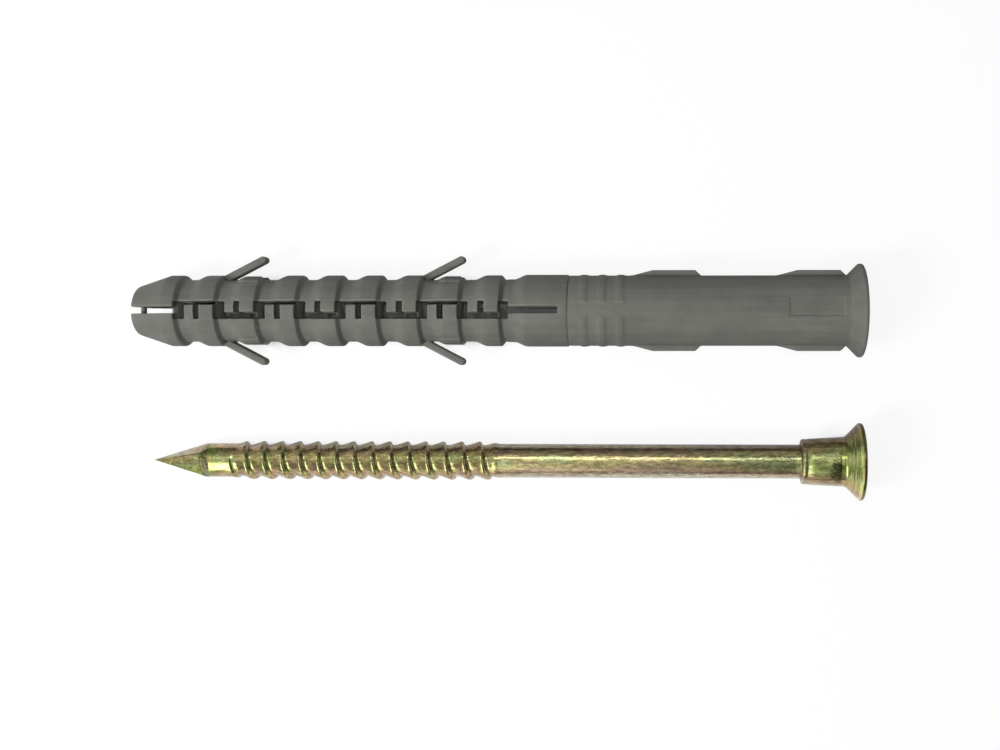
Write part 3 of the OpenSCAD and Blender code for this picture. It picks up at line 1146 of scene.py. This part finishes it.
    def moulding_marks(self, xs: np.ndarray, ys: np.ndarray) -> np.ndarray:
        """Gives the fine relief of the mould.

        Args:
            xs: Stations along the axis.
            ys: Places across the axis, as seen from above.

        Returns:
            The relief's height for each station and place.
        """
        rings_end = self.drop_at(self.ring_count)
        along = smooth_step(*(rings_end + start for start in self.ledge_start), xs) * (xs < self.neck_end)
        relief = self.ledge_height * along[:, None] * smooth_step(*self.ledge_side, ys)[None, :]
        for ring in range(0, self.ring_count, 2):
            along = self.on_ring(ring, xs, self.lip_start, self.lip_end)
            across = np.exp(-((ys - self.split_band / 2 - self.lip_width) / self.lip_width) ** 2)
            relief += self.lip_height * along[:, None] * across[None, :]
        for ring in self.barb_crests:
            along = self.on_ring(ring, xs, self.groove_start, self.groove_end)
            across = np.exp(-((np.abs(ys) - self.valley_r + self.groove_inset) / self.lip_width) ** 2)
            relief -= self.groove_depth * along[:, None] * across[None, :]
        return relief

    def fill(self, block: Block) -> None:
        """Fills a block with the solid outside: its rings, ribs, flange and mould marks.

        Args:
            block: The block, still empty.
        """
        xs, ys = block.xs, block.ys
        base = np.interp(xs, *self.outline())
        rib = np.zeros_like(base)
        for i in range(self.rib_count):
            off = np.abs(xs - (self.rib_first + i * self.rib_pitch))
            rib += np.interp(off, [self.rib_top, self.rib_width / 2], [self.rib_height, 0.0])
        gap = self.rib_break / 2
        unbroken = smooth_step(gap - self.rib_fade, gap + self.rib_fade, np.abs(ys))
        parting = np.interp(
            np.abs(xs - self.neck_end), [0.0, self.parting_width / 2], [self.parting_depth, 0.0])
        smooth_side = base[:, None] - parting[:, None] + rib[:, None] * unbroken[None, :]
        outer = (smooth_side + self.moulding_marks(xs, ys)).astype(np.float32)
        slant = block.slant(base).astype(np.float32)[:, None, None]
        for side in Side:
            half = side.covers(block.zs)
            block.d[:, :, half] = (block.rho[:, :, half] - side.turned(outer)[:, :, None]) / slant
        block.cut(block.x, self.nose_round)
        block.cut(self.length - block.x, self.face_round)

    def cut_pockets(self, block: Block) -> None:
        """Cuts the pockets that the barbs fold into.

        Args:
            block: The sleeve so far.
        """
        half_width = self.barb_width / 2 + self.barb_play
        for ring in self.barb_crests:
            x0 = self.drop_at(ring) + self.drop_length
            ends = np.maximum(x0 - block.x, block.x - x0 - self.ring_pitch)
            pocket = np.maximum(ends, self.valley_r - block.out)
            block.cut(np.maximum(pocket, block.up - half_width), self.pocket_round)

    def join_fins(self, block: Block) -> None:
        """Joins the fins on, which stop the sleeve from turning.

        Args:
            block: The sleeve so far.
        """
        foot = self.rear_r - self.fin_sink
        for start in self.fin_starts:
            spots = np.cumsum([start, self.fin_ramp, self.fin_top, self.fin_back])
            fin = np.interp(block.xs, spots, [foot, self.fin_r, self.fin_r, foot], left=0.0, right=0.0)
            tops = block.out - fin[:, None, None].astype(np.float32)
            block.join(soft_max(tops, block.up - self.fin_width / 2, self.fin_round), self.fin_fillet)

    def join_barbs(self, block: Block) -> None:
        """Joins the barbs on, which spring out behind two of the rings.

        Args:
            block: The sleeve so far.
        """
        x, y = block.xs[:, None], np.abs(block.ys)[None, :]
        angle = math.radians(self.barb_angle)
        lean = (math.cos(angle), math.sin(angle))
        nearest = np.full(np.broadcast(x, y).shape, self.far_off)
        for ring in self.barb_crests:
            dx = x - self.drop_at(ring)
            dy = y - (self.body_r - self.barb_sink)
            t = np.clip(dx * lean[0] + dy * lean[1], -self.barb_root, self.barb_length)
            nearest = np.minimum(nearest, np.hypot(dx - t * lean[0], dy - t * lean[1]))
        barb = (nearest - self.barb_thickness / 2).astype(np.float32)[:, :, None]
        block.join(soft_max(barb, block.up - self.barb_width / 2, self.barb_round), self.barb_fillet)

    def cut_bore(self, block: Block) -> None:
        """Cuts the bore that the screw is driven through.

        Args:
            block: The sleeve so far.
        """
        rings_end, collar = self.drop_at(self.ring_count), self.collar_bore_start
        stations = [
            self.first_drop, rings_end - self.bore_funnel, rings_end,
            collar, collar + self.collar_step, *self.seat]
        radii = [
            self.tip_bore_r, self.grip_bore_r, self.bore_r,
            self.bore_r, self.collar_bore_r, self.collar_bore_r, self.seat_r]
        hole = np.interp(block.xs, stations, radii)
        inside = block.rho - hole.astype(np.float32)[:, None, None]
        block.cut(inside / block.slant(hole)[:, None, None], self.bore_round)

    def cut_split(self, block: Block) -> None:
        """Cuts the split on both sides and leaves the web that bridges it at the nose.

        Args:
            block: The sleeve so far.
        """
        split = np.full((len(block.xs), len(block.ys)), self.far_off, dtype=np.float32)
        for rect in self.split_rects():
            split = np.minimum(split, block.rect(rect))
        behind_nose = smooth_step(self.nose_length, self.first_drop + self.draft_overlap, block.x)
        draft = self.split_draft * behind_nose
        for side in Side:
            half = side.covers(block.zs)
            narrower = draft * np.maximum(self.valley_r - block.up[:, :, half], 0.0)
            slit = -side.turned(split)[:, :, None] - narrower
            block.d[:, :, half] = soft_max(block.d[:, :, half], slit, self.split_round)
        across = self.tip_bore_r + self.nose_slot / 2
        web = block.rect((self.web_offset, self.web_offset + self.web_length, -across, across))
        block.join(np.maximum(web[:, :, None], block.up - self.web_thickness / 2), self.web_fillet)

    def sink_panel(self, block: Block) -> None:
        """Sinks the bare panel beside the flange.

        Args:
            block: The sleeve so far.
        """
        half = self.panel_width / 2
        panel = block.rect((*self.panel, self.panel_middle - half, self.panel_middle + half))[:, :, None]
        shallow = np.maximum(panel, self.rear_r - self.panel_depth - block.rho)
        block.cut(np.maximum(shallow, -block.z), self.panel_round)

    def build(self, material: bpy.types.Material) -> bpy.types.Object:
        """Builds the sleeve and dresses it.

        Args:
            material: The nylon's material.

        Returns:
            The finished piece.
        """
        block = Block((-self.margin, self.length + self.margin), self.reach, self.step)
        self.fill(block)
        self.cut_pockets(block)
        self.join_fins(block)
        self.join_barbs(block)
        self.cut_bore(block)
        self.cut_split(block)
        self.sink_panel(block)
        points, quads = surface_of(block.d, block.start(), self.step)
        raw = new_object("sleeve_raw", mesh_from_arrays("sleeve_raw", points, quads))
        thin = raw.modifiers.new("thin", "DECIMATE")
        thin.ratio = min(1.0, self.most_triangles / (2 * len(quads)))
        sleeve = settle(raw, "sleeve_moulding")
        sleeve.data.transform(self.lay.matrix())
        sleeve.data.materials.append(material)
        sleeve.data.shade_smooth()
        mark_edges(sleeve.data)
        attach(sleeve, BODY)
        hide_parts("expansion_sleeve")
        return sleeve


# The screw


class ThreadTree:
    """A Geometry Nodes tree that rolls a helical thread into the fine rings of a shank."""

    NAME = "rolled_thread"
    SIZES = ("Pitch", "Start", "End", "Fade In", "Fade Out", "Shank Radius", "Root Radius", "Crest Radius")
    # Height of the thread's flank over one pitch, from root to crest and back
    FLANK: Stops = (
        (0.04, 0.03), (0.35, 0.47), (0.62, 0.92), (0.70, 1.0), (0.75, 0.97), (0.84, 0.46), (0.92, 0.03))
    # Whole turns that keep the phase above zero in front of the thread
    TURNS_AHEAD = 4.0

    def __init__(self) -> None:
        """Builds the tree with its named inputs."""
        self.tree = bpy.data.node_groups.new(self.NAME, "GeometryNodeTree")
        face = self.tree.interface
        face.new_socket("Geometry", in_out="INPUT", socket_type="NodeSocketGeometry")
        kinds = {name: "NodeSocketFloat" for name in self.SIZES} | {"Finish": "NodeSocketMaterial"}
        self.ids = {
            name: face.new_socket(name, in_out="INPUT", socket_type=kind).identifier
            for name, kind in kinds.items()}
        face.new_socket("Geometry", in_out="OUTPUT", socket_type="NodeSocketGeometry")
        self.wire(NodeSheet(self.tree))

    def flank(self, sheet: NodeSheet, phase: Socket) -> Socket:
        """Gives the thread's height over one pitch.

        Args:
            sheet: The tree's sheet.
            phase: How far through the pitch a point lies.

        Returns:
            The height, from 0 at the root to 1 at the crest.
        """
        node = sheet.add("ShaderNodeFloatCurve", {"Value": phase})
        curve = node.mapping.curves[0]
        for spot in self.FLANK:
            curve.points.new(*spot)
        curve.points[0].location = (0.0, 0.0)
        curve.points[-1].location = (1.0, 0.0)
        for point in curve.points:
            point.handle_type = "AUTO_CLAMPED"
        node.mapping.update()
        return node.outputs[0]

    def wire(self, sheet: NodeSheet) -> None:
        """Adds the nodes: each point's radius follows the flank that its turn and place fall on.

        Args:
            sheet: The tree's sheet.
        """
        given = sheet.add("NodeGroupInput").outputs
        part = sheet.parts(sheet.add("GeometryNodeInputPosition").outputs[0])
        turn = sheet.math("ARCTAN2", part[1], sheet.times(part[2], -1.0))
        turn = sheet.math("DIVIDE", turn, 2 * math.pi)
        into = sheet.minus(part[0], given["Start"])
        run = sheet.math("DIVIDE", into, given["Pitch"])
        phase = sheet.math("FRACT", sheet.plus(sheet.minus(run, turn), self.TURNS_AHEAD))
        rise = sheet.minus(given["Crest Radius"], given["Root Radius"])
        cut = sheet.plus(given["Root Radius"], sheet.times(rise, self.flank(sheet, phase)))
        into = sheet.math("DIVIDE", into, given["Fade In"])
        left = sheet.math("DIVIDE", sheet.minus(given["End"], part[0]), given["Fade Out"])
        share = sheet.follow(sheet.math("MINIMUM", into, left), Change(0.0, 1.0, 0.0, 1.0))
        grown = sheet.minus(cut, given["Shank Radius"])
        radius = sheet.plus(given["Shank Radius"], sheet.times(grown, share))
        flat = sheet.add("ShaderNodeCombineXYZ", {1: part[1], 2: part[2]}).outputs[0]
        unit = sheet.vector("NORMALIZE", flat)
        out = sheet.add("ShaderNodeVectorMath", {0: unit, "Scale": radius}, operation="SCALE").outputs[0]
        spine = sheet.add("ShaderNodeCombineXYZ", {0: part[0]}).outputs[0]
        moved = sheet.add("GeometryNodeSetPosition", {
            "Geometry": given["Geometry"],
            "Selection": sheet.math("GREATER_THAN", share, 0.0),
            "Position": sheet.vector("ADD", spine, out)})
        real = sheet.add("GeometryNodeRealizeInstances", {0: moved.outputs[0]})
        dressed = sheet.add("GeometryNodeSetMaterial", {
            "Geometry": real.outputs[0],
            "Material": given["Finish"]})
        sheet.add("NodeGroupOutput", {0: dressed.outputs[0]})

    def roll(self, piece: bpy.types.Object, values: dict[str, object]) -> None:
        """Adds the tree to a piece as a modifier.

        Args:
            piece: The piece with the fine rings.
            values: Input values by name, lengths in the piece's own unit.
        """
        modifier = piece.modifiers.new(self.NAME, "NODES")
        modifier.node_group = self.tree
        for name, value in values.items():
            modifier[self.ids[name]] = value


@dataclass
class NailScrew:
    """The plated nail screw: a four-sided point, a rolled thread, a plain shank, a collar and a head.

    Sizes are millimetres, and places along the axis count from the tip.
    """

    lay: Lay = SCREW_LAY
    length: float = 99.3998
    shank_r: float = 2.35
    # Point: four faces, turned by some degrees, that swell into the round shank
    point_length: float = 7.4
    point_width: float = 3.9
    point_swell: Span = (6.9, 8.7)
    point_turn: float = 24.0
    point_round: float = 0.1
    # Thread
    thread_start: float = 10.75
    thread_end: float = 49.15
    thread_pitch: float = 2.54
    thread_fade_in: float = 3.0
    thread_fade_out: float = 1.6
    crest_r: float = 2.675
    root_r: float = 2.15
    # Collar
    collar_tip_r: float = 3.125
    collar_r: float = 3.425
    collar_start: float = 90.926
    collar_foot: float = 0.12
    collar_edge: float = 0.3
    collar_groove: float = 0.75
    groove_shape: Stops = ((-0.16, 0.01), (0.0, -0.05), (0.16, 0.03))
    # Head
    head_start: float = 96.626
    head_fillet: float = 0.9
    head_slope: float = 45.0
    head_r: float = 5.35
    head_rim: float = 0.6
    head_round: float = 0.2
    # Cross recess, which narrows to its foot
    drive_d: float = 5.6
    drive_wing: float = 1.2
    drive_depth: float = 2.6
    drive_foot_d: float = 2.56667
    drive_foot_wing: float = 0.96
    punch_over: float = 0.5
    # Mesh
    columns: int = 96
    tip_stations: tuple[float, float, int] = (0.08, 5.0, 30)
    swell_first: float = 5.1
    swell_steps: int = 76
    thread_step: float = 0.065
    shank_steps: int = 40
    foot_steps: int = 4
    round_steps: int = 6
    rim_steps: int = 5
    collar_shares: Point = (0.25, 0.5, 0.75)
    sharp_deg: float = 38.0

    def point_rings(self) -> list[tuple[float, np.ndarray]]:
        """Sets out the point.

        Returns:
            The station of each ring and the radii round it.
        """
        turns = np.arange(self.columns) * 2 * math.pi / self.columns - math.radians(self.point_turn)
        width = self.point_width / 2
        thickness = math.sqrt(self.shank_r ** 2 - width ** 2)
        faces = np.minimum(width / np.maximum(np.abs(np.sin(turns)), TINY),
                           thickness / np.maximum(np.abs(np.cos(turns)), TINY))
        stations = [*np.linspace(*self.tip_stations),
                    *np.linspace(self.swell_first, self.thread_start, self.swell_steps)]
        rings = []
        for x in stations:
            flat = faces * x / self.point_length
            flat = soft_min(flat, np.full(self.columns, self.shank_r), self.point_round)
            swell = float(smooth_step(*self.point_swell, np.array(x)))
            rings.append((float(x), flat + (self.shank_r - flat) * swell))
        return rings

    def shank_rings(self) -> list[Span]:
        """Sets out the round part, from the thread's start to the head's face.

        Returns:
            The station and the radius of each ring.
        """
        count = round((self.thread_end - self.thread_start) / self.thread_step)
        stations = [*np.linspace(self.thread_start, self.thread_end, count + 1)[1:],
                    *np.linspace(self.thread_end, self.collar_start, self.shank_steps)[1:-1]]
        rings = [(float(x), self.shank_r) for x in stations]

        foot, edge, start = self.collar_foot, self.collar_edge, self.collar_start
        rings += arc((start - foot, self.shank_r + foot), foot, 180.0, 90.0, self.foot_steps)
        rings += arc((start + edge, self.collar_tip_r - edge), edge, -90.0, 0.0, self.round_steps)
        rings += [(start + self.collar_groove + x, self.collar_tip_r + r) for x, r in self.groove_shape]
        run, growth = self.head_start - start - edge, self.collar_r - self.collar_tip_r
        rings += [(start + edge + run * s, self.collar_tip_r + growth * s) for s in self.collar_shares]

        fillet, rim, slope = self.head_fillet, self.head_round, self.head_slope
        under_head = (self.head_start, self.collar_r + fillet)
        rings += arc(under_head, fillet, 180.0, 180.0 - slope, self.round_steps)
        rim_dark_start = self.length - self.head_rim + rim
        rings += arc((rim_dark_start, self.head_r - rim), rim, -slope, 0.0, self.rim_steps)
        rings += arc((self.length - rim, self.head_r - rim), rim, 0.0, 90.0, self.rim_steps)
        return rings

    def blank(self) -> bpy.types.Object:
        """Makes the smooth blank, in its own millimetres, with fine rings where the thread goes.

        Returns:
            The blank.
        """
        n = self.columns
        turns = np.arange(n) * 2 * math.pi / n
        out = np.stack([np.sin(turns), -np.cos(turns)], axis=1)
        rings = self.point_rings() + [(x, np.full(n, r)) for x, r in self.shank_rings()]
        points = [(0.0, 0.0, 0.0)]
        for x, radii in rings:
            points += [(x, float(r * o[0]), float(r * o[1])) for r, o in zip(radii, out)]
        points.append((self.length, 0.0, 0.0))
        last = len(points) - 1
        faces = [(0, 1 + (j + 1) % n, 1 + j) for j in range(n)]
        for i in range(len(rings) - 1):
            a, b = 1 + i * n, 1 + (i + 1) * n
            faces += [(a + j, a + (j + 1) % n, b + (j + 1) % n, b + j) for j in range(n)]
        end = 1 + (len(rings) - 1) * n
        faces += [(end + j, end + (j + 1) % n, last) for j in range(n)]
        mesh = bpy.data.meshes.new("screw_blank")
        mesh.from_pydata(points, [], faces)
        work = bmesh.new()
        work.from_mesh(mesh)
        bmesh.ops.recalc_face_normals(work, faces=work.faces[:])
        work.to_mesh(mesh)
        work.free()
        return new_object("screw_blank", mesh)

    def drive_punch(self) -> bpy.types.Object:
        """Makes the punch that presses the cross recess into the head.

        Returns:
            The punch.
        """
        work = bmesh.new()
        rows = []
        for x, across, thick in (
                (self.length - self.drive_depth, self.drive_foot_d, self.drive_foot_wing),
                (self.length + self.punch_over, self.drive_d, self.drive_wing)):
            reach, wing = across / 2, thick / 2
            ring = []
            for quarter in range(4):
                a = math.pi / 2 * quarter
                c, s = math.cos(a), math.sin(a)
                for p, q in ((wing, wing), (reach, wing), (reach, -wing)):
                    ring.append(work.verts.new((x, p * c + q * s, p * s - q * c)))
            rows.append(ring)
        foot, top = rows
        count = len(foot)
        for j in range(count):
            work.faces.new((foot[j], foot[(j + 1) % count], top[(j + 1) % count], top[j]))
        work.faces.new(foot[::-1])
        work.faces.new(top)
        bmesh.ops.recalc_face_normals(work, faces=work.faces[:])
        mesh = bpy.data.meshes.new("drive_punch")
        work.to_mesh(mesh)
        work.free()
        return new_object("drive_punch", mesh)

    def build(self, material: bpy.types.Material) -> bpy.types.Object:
        """Builds the screw and dresses it.

        Args:
            material: The plating's material.

        Returns:
            The finished piece.
        """
        blank = self.blank()
        punch = self.drive_punch()
        pressed = blank.modifiers.new("drive", "BOOLEAN")
        pressed.operation = "DIFFERENCE"
        pressed.solver = "EXACT"
        pressed.object = punch
        ThreadTree().roll(blank, {
            "Pitch": self.thread_pitch,
            "Start": self.thread_start,
            "End": self.thread_end,
            "Fade In": self.thread_fade_in,
            "Fade Out": self.thread_fade_out,
            "Shank Radius": self.shank_r,
            "Root Radius": self.root_r,
            "Crest Radius": self.crest_r,
            "Finish": material})
        screw = settle(blank, "plated_screw")
        bpy.data.objects.remove(punch)
        screw.data.transform(self.lay.matrix())
        screw.data.materials.clear()
        screw.data.materials.append(material)
        screw.data.shade_smooth()
        screw.data.set_sharp_from_angle(angle=math.radians(self.sharp_deg))
        mark_edges(screw.data)
        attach(screw, BODY)
        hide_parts("nail_screw")
        return screw


# The stage


@dataclass(frozen=True)
class Lamp:
    """A soft square lamp that faces the pieces: its place and width in millimetres, its power in watts."""

    name: str
    at: Point
    width: float
    power: float

    def hang(self) -> None:
        """Adds the lamp to the scene, unseen by polished pieces, which see the screens instead."""
        data = bpy.data.lights.new(self.name, "AREA")
        data.shape = "SQUARE"
        data.size = self.width * MM
        data.energy = self.power
        made = bpy.data.objects.new(self.name, data)
        made.location = Vector(self.at) * MM
        made.rotation_euler = (-Vector(self.at)).to_track_quat("-Z", "Y").to_euler()
        made.visible_camera = made.visible_glossy = False
        bpy.context.scene.collection.objects.link(made)


@dataclass(frozen=True)
class Screen:
    """A soft-edged screen of light, set by the direction it lies in, to the right and to the back."""

    right: Fade
    back: Fade
    level: float

    def light(self, sheet: NodeSheet, part: Sockets) -> Socket:
        """Gives the screen's light.

        Args:
            sheet: The world's sheet.
            part: The parts of the direction: to the right, to the back and up.

        Returns:
            The light from that direction.
        """
        wide = sheet.rise_and_fall(part[0], self.right, self.level)
        return sheet.times(wide, sheet.rise_and_fall(part[1], self.back))


@dataclass
class Studio:
    """The pale floor, the soft lamps and the camera straight above, with lengths in millimetres."""

    # Camera, fitted to the picture
    camera_at: Point = (19.187, 3.95, 167.0)
    focal_px: float = 1166.8
    middle_px: Span = (639.2, 350.0)
    frame_px: tuple[int, int] = (1000, 750)
    sensor_mm: float = 36.0
    clip_start: float = 5.0

    # Floor: near white to the camera, with a painted shadow where a piece lies close over it behind the open
    # nose slot
    floor_reach: float = 4000.0
    floor_tone: float = 0.64
    floor_rough: float = 0.9
    cover_reach: float = 14.0
    cover_samples: int = 16
    painted_floor_shadow: Change = Change(0.28, 0.48, 1.0, 0.0)
    open_slot: Change = Change(-47.9, -47.3, 0.0, 1.0)
    floor_glow: Change = Change(0.0, 1.0, 1.06, 0.05)
    glow_share: Change = Change(100.0, 350.0, 0.84, 1.0)

    # Floor as polished pieces see it: bright on the near side, dimmer on the far side
    near_side: Change = Change(-16.0, -8.0, 1.0, 0.0)
    near_floor: float = 0.9
    floor_run: Span = (-50.0, 50.0)
    far_floor: Stops = ((0.08, 0.85), (0.14, 0.45), (0.55, 0.45), (0.9, 0.28))

    # Sky: dimmer to the right and brighter at the back
    sky: Change = Change(-0.8, 0.6, 0.46, 0.03)
    back_fill: Change = Change(0.1, 0.9, 1.0, 2.0)

    # Sky as polished pieces see it, by direction from front to back, from left to right and upwards
    directions: Span = (-1.0, 1.0)
    bands: Stops = (
        (0.0, 0.6), (0.08, 0.85), (0.22, 0.5), (0.37, 0.52), (0.52, 0.9), (0.62, 1.0), (0.7, 0.8),
        (0.75, 0.6), (0.86, 0.4), (0.97, 0.2))
    breadth: Stops = (
        (0.0, 0.95), (0.05, 0.88), (0.1, 0.72), (0.2, 0.75), (0.42, 1.0), (0.48, 0.95), (0.52, 0.46),
        (0.545, 0.25), (0.56, 0.19), (0.72, 0.2), (0.8, 0.4), (0.92, 0.6))
    horizon: Change = Change(0.0, 0.35, 0.65, 1.0)
    pale_wall: Screen = Screen((0.0, 0.06, 0.3, 0.5), (0.6, 0.78, 1.1, 1.2), 0.35)
    front_box: Screen = Screen((-0.6, -0.5, -0.42, -0.1), (-0.9, -0.8, -0.36, -0.1), 3.4)
    long_lamp: Screen = Screen((-0.32, -0.2, -0.04, 0.14), (0.35, 0.38, 0.44, 0.465), 5.6)

    lamps: tuple[Lamp, ...] = (
        Lamp("key", (-200.0, -100.0, 270.0), 100.0, 1.02),
        Lamp("front", (5.0, 4.0, 190.0), 50.0, 0.11))

    def camera(self) -> None:
        """Adds the camera, which looks straight down with +Y up in the picture."""
        width, height = self.frame_px
        data = bpy.data.cameras.new("camera")
        data.sensor_width = self.sensor_mm
        data.lens = self.focal_px * self.sensor_mm / width
        data.shift_x = (width / 2 - self.middle_px[0]) / width
        data.shift_y = (self.middle_px[1] - height / 2) / width
        data.clip_start = self.clip_start * MM
        made = bpy.data.objects.new("camera", data)
        made.location = Vector(self.camera_at) * MM
        bpy.context.scene.collection.objects.link(made)
        bpy.context.scene.camera = made

    def floor_material(self) -> bpy.types.Material:
        """Builds the floor's material.

        Returns:
            The material.
        """
        material, sheet = start_material("pale_floor")
        path = sheet.add("ShaderNodeLightPath").outputs
        place = sheet.place()
        part = sheet.parts(place)
        plain = sheet.add("ShaderNodeBsdfPrincipled", {
            "Base Color": (self.floor_tone, self.floor_tone, self.floor_tone, 1.0),
            "Roughness": self.floor_rough,
            "Specular IOR Level": 0.0})
        # Painted shadow: the floor's glow fades where nearby pieces hide the sky
        close = sheet.add("ShaderNodeAmbientOcclusion", {
            "Distance": self.cover_reach * MM}, samples=self.cover_samples).outputs["AO"]
        painted_floor_shadow = sheet.times(sheet.follow(close, self.painted_floor_shadow), sheet.follow(part[0], self.open_slot, MM))
        bright = sheet.add("ShaderNodeEmission", {"Strength": sheet.follow(painted_floor_shadow, self.floor_glow)})
        share = sheet.follow(sheet.vector("LENGTH", place, out="Value"), self.glow_share, MM)
        seen = sheet.mixed(sheet.times(path["Is Camera Ray"], share), plain, bright)
        dim = sheet.levels(sheet.share(part[0], self.floor_run, MM), self.far_floor)
        shine = sheet.blend(sheet.follow(part[1], self.near_side, MM), dim, self.near_floor)
        mirrored = sheet.add("ShaderNodeEmission", {"Strength": shine})
        sheet.surface(sheet.mixed(path["Is Glossy Ray"], seen, mirrored))
        return material

    def floor(self) -> None:
        """Adds the pale floor."""
        far = self.floor_reach * MM
        mesh = bpy.data.meshes.new("floor")
        mesh.from_pydata([(-far, -far, 0), (far, -far, 0), (far, far, 0), (-far, far, 0)], [], [(0, 1, 2, 3)])
        floor = new_object("floor", mesh)
        floor.data.materials.append(self.floor_material())

    def mirrored_sky(self, sheet: NodeSheet, part: Sockets) -> Socket:
        """Gives the light of the sky and its screens, as polished pieces see them.

        Args:
            sheet: The world's sheet.
            part: The parts of the direction: to the right, to the back and up.

        Returns:
            The light from that direction.
        """
        bands = sheet.levels(sheet.share(part[1], self.directions), self.bands)
        breadth = sheet.levels(sheet.share(part[0], self.directions), self.breadth)
        light = sheet.times(sheet.times(bands, breadth), sheet.follow(part[2], self.horizon))
        for screen in (self.pale_wall, self.front_box, self.long_lamp):
            light = sheet.plus(light, screen.light(sheet, part))
        return light

    def world(self) -> None:
        """Sets an even sky, in which polished pieces see bright and dim screens."""
        world = bpy.data.worlds.new("studio")
        world.use_nodes = True
        world.node_tree.nodes.clear()
        sheet = NodeSheet(world.node_tree)
        part = sheet.parts(sheet.add("ShaderNodeTexCoord").outputs["Generated"])
        path = sheet.add("ShaderNodeLightPath").outputs
        even = sheet.times(sheet.follow(part[0], self.sky), sheet.follow(part[1], self.back_fill))
        light = sheet.blend(path["Is Glossy Ray"], even, self.mirrored_sky(sheet, part))
        glow = sheet.blend(path["Is Camera Ray"], light, 1.0)
        back = sheet.add("ShaderNodeBackground", {"Color": (1.0, 1.0, 1.0, 1.0), "Strength": glow})
        sheet.add("ShaderNodeOutputWorld", {"Surface": back.outputs[0]})
        bpy.context.scene.world = world

    def build(self) -> None:
        """Builds the whole stage."""
        bpy.context.scene.view_settings.view_transform = "Standard"
        self.camera()
        self.floor()
        self.world()
        for lamp in self.lamps:
            lamp.hang()


def main() -> None:
    """Builds the stage and both pieces, and reports them."""
    logging.basicConfig(level=logging.INFO, format="%(name)s: %(message)s")
    Studio().build()
    pieces = [
        ExpansionSleeve().build(NylonFinish().material()),
        NailScrew().build(YellowZincFinish().material()),
    ]
    for piece in pieces:
        LOG.info("%s has %d faces", piece.name, len(piece.data.polygons))


if __name__ == "__main__":
    main()
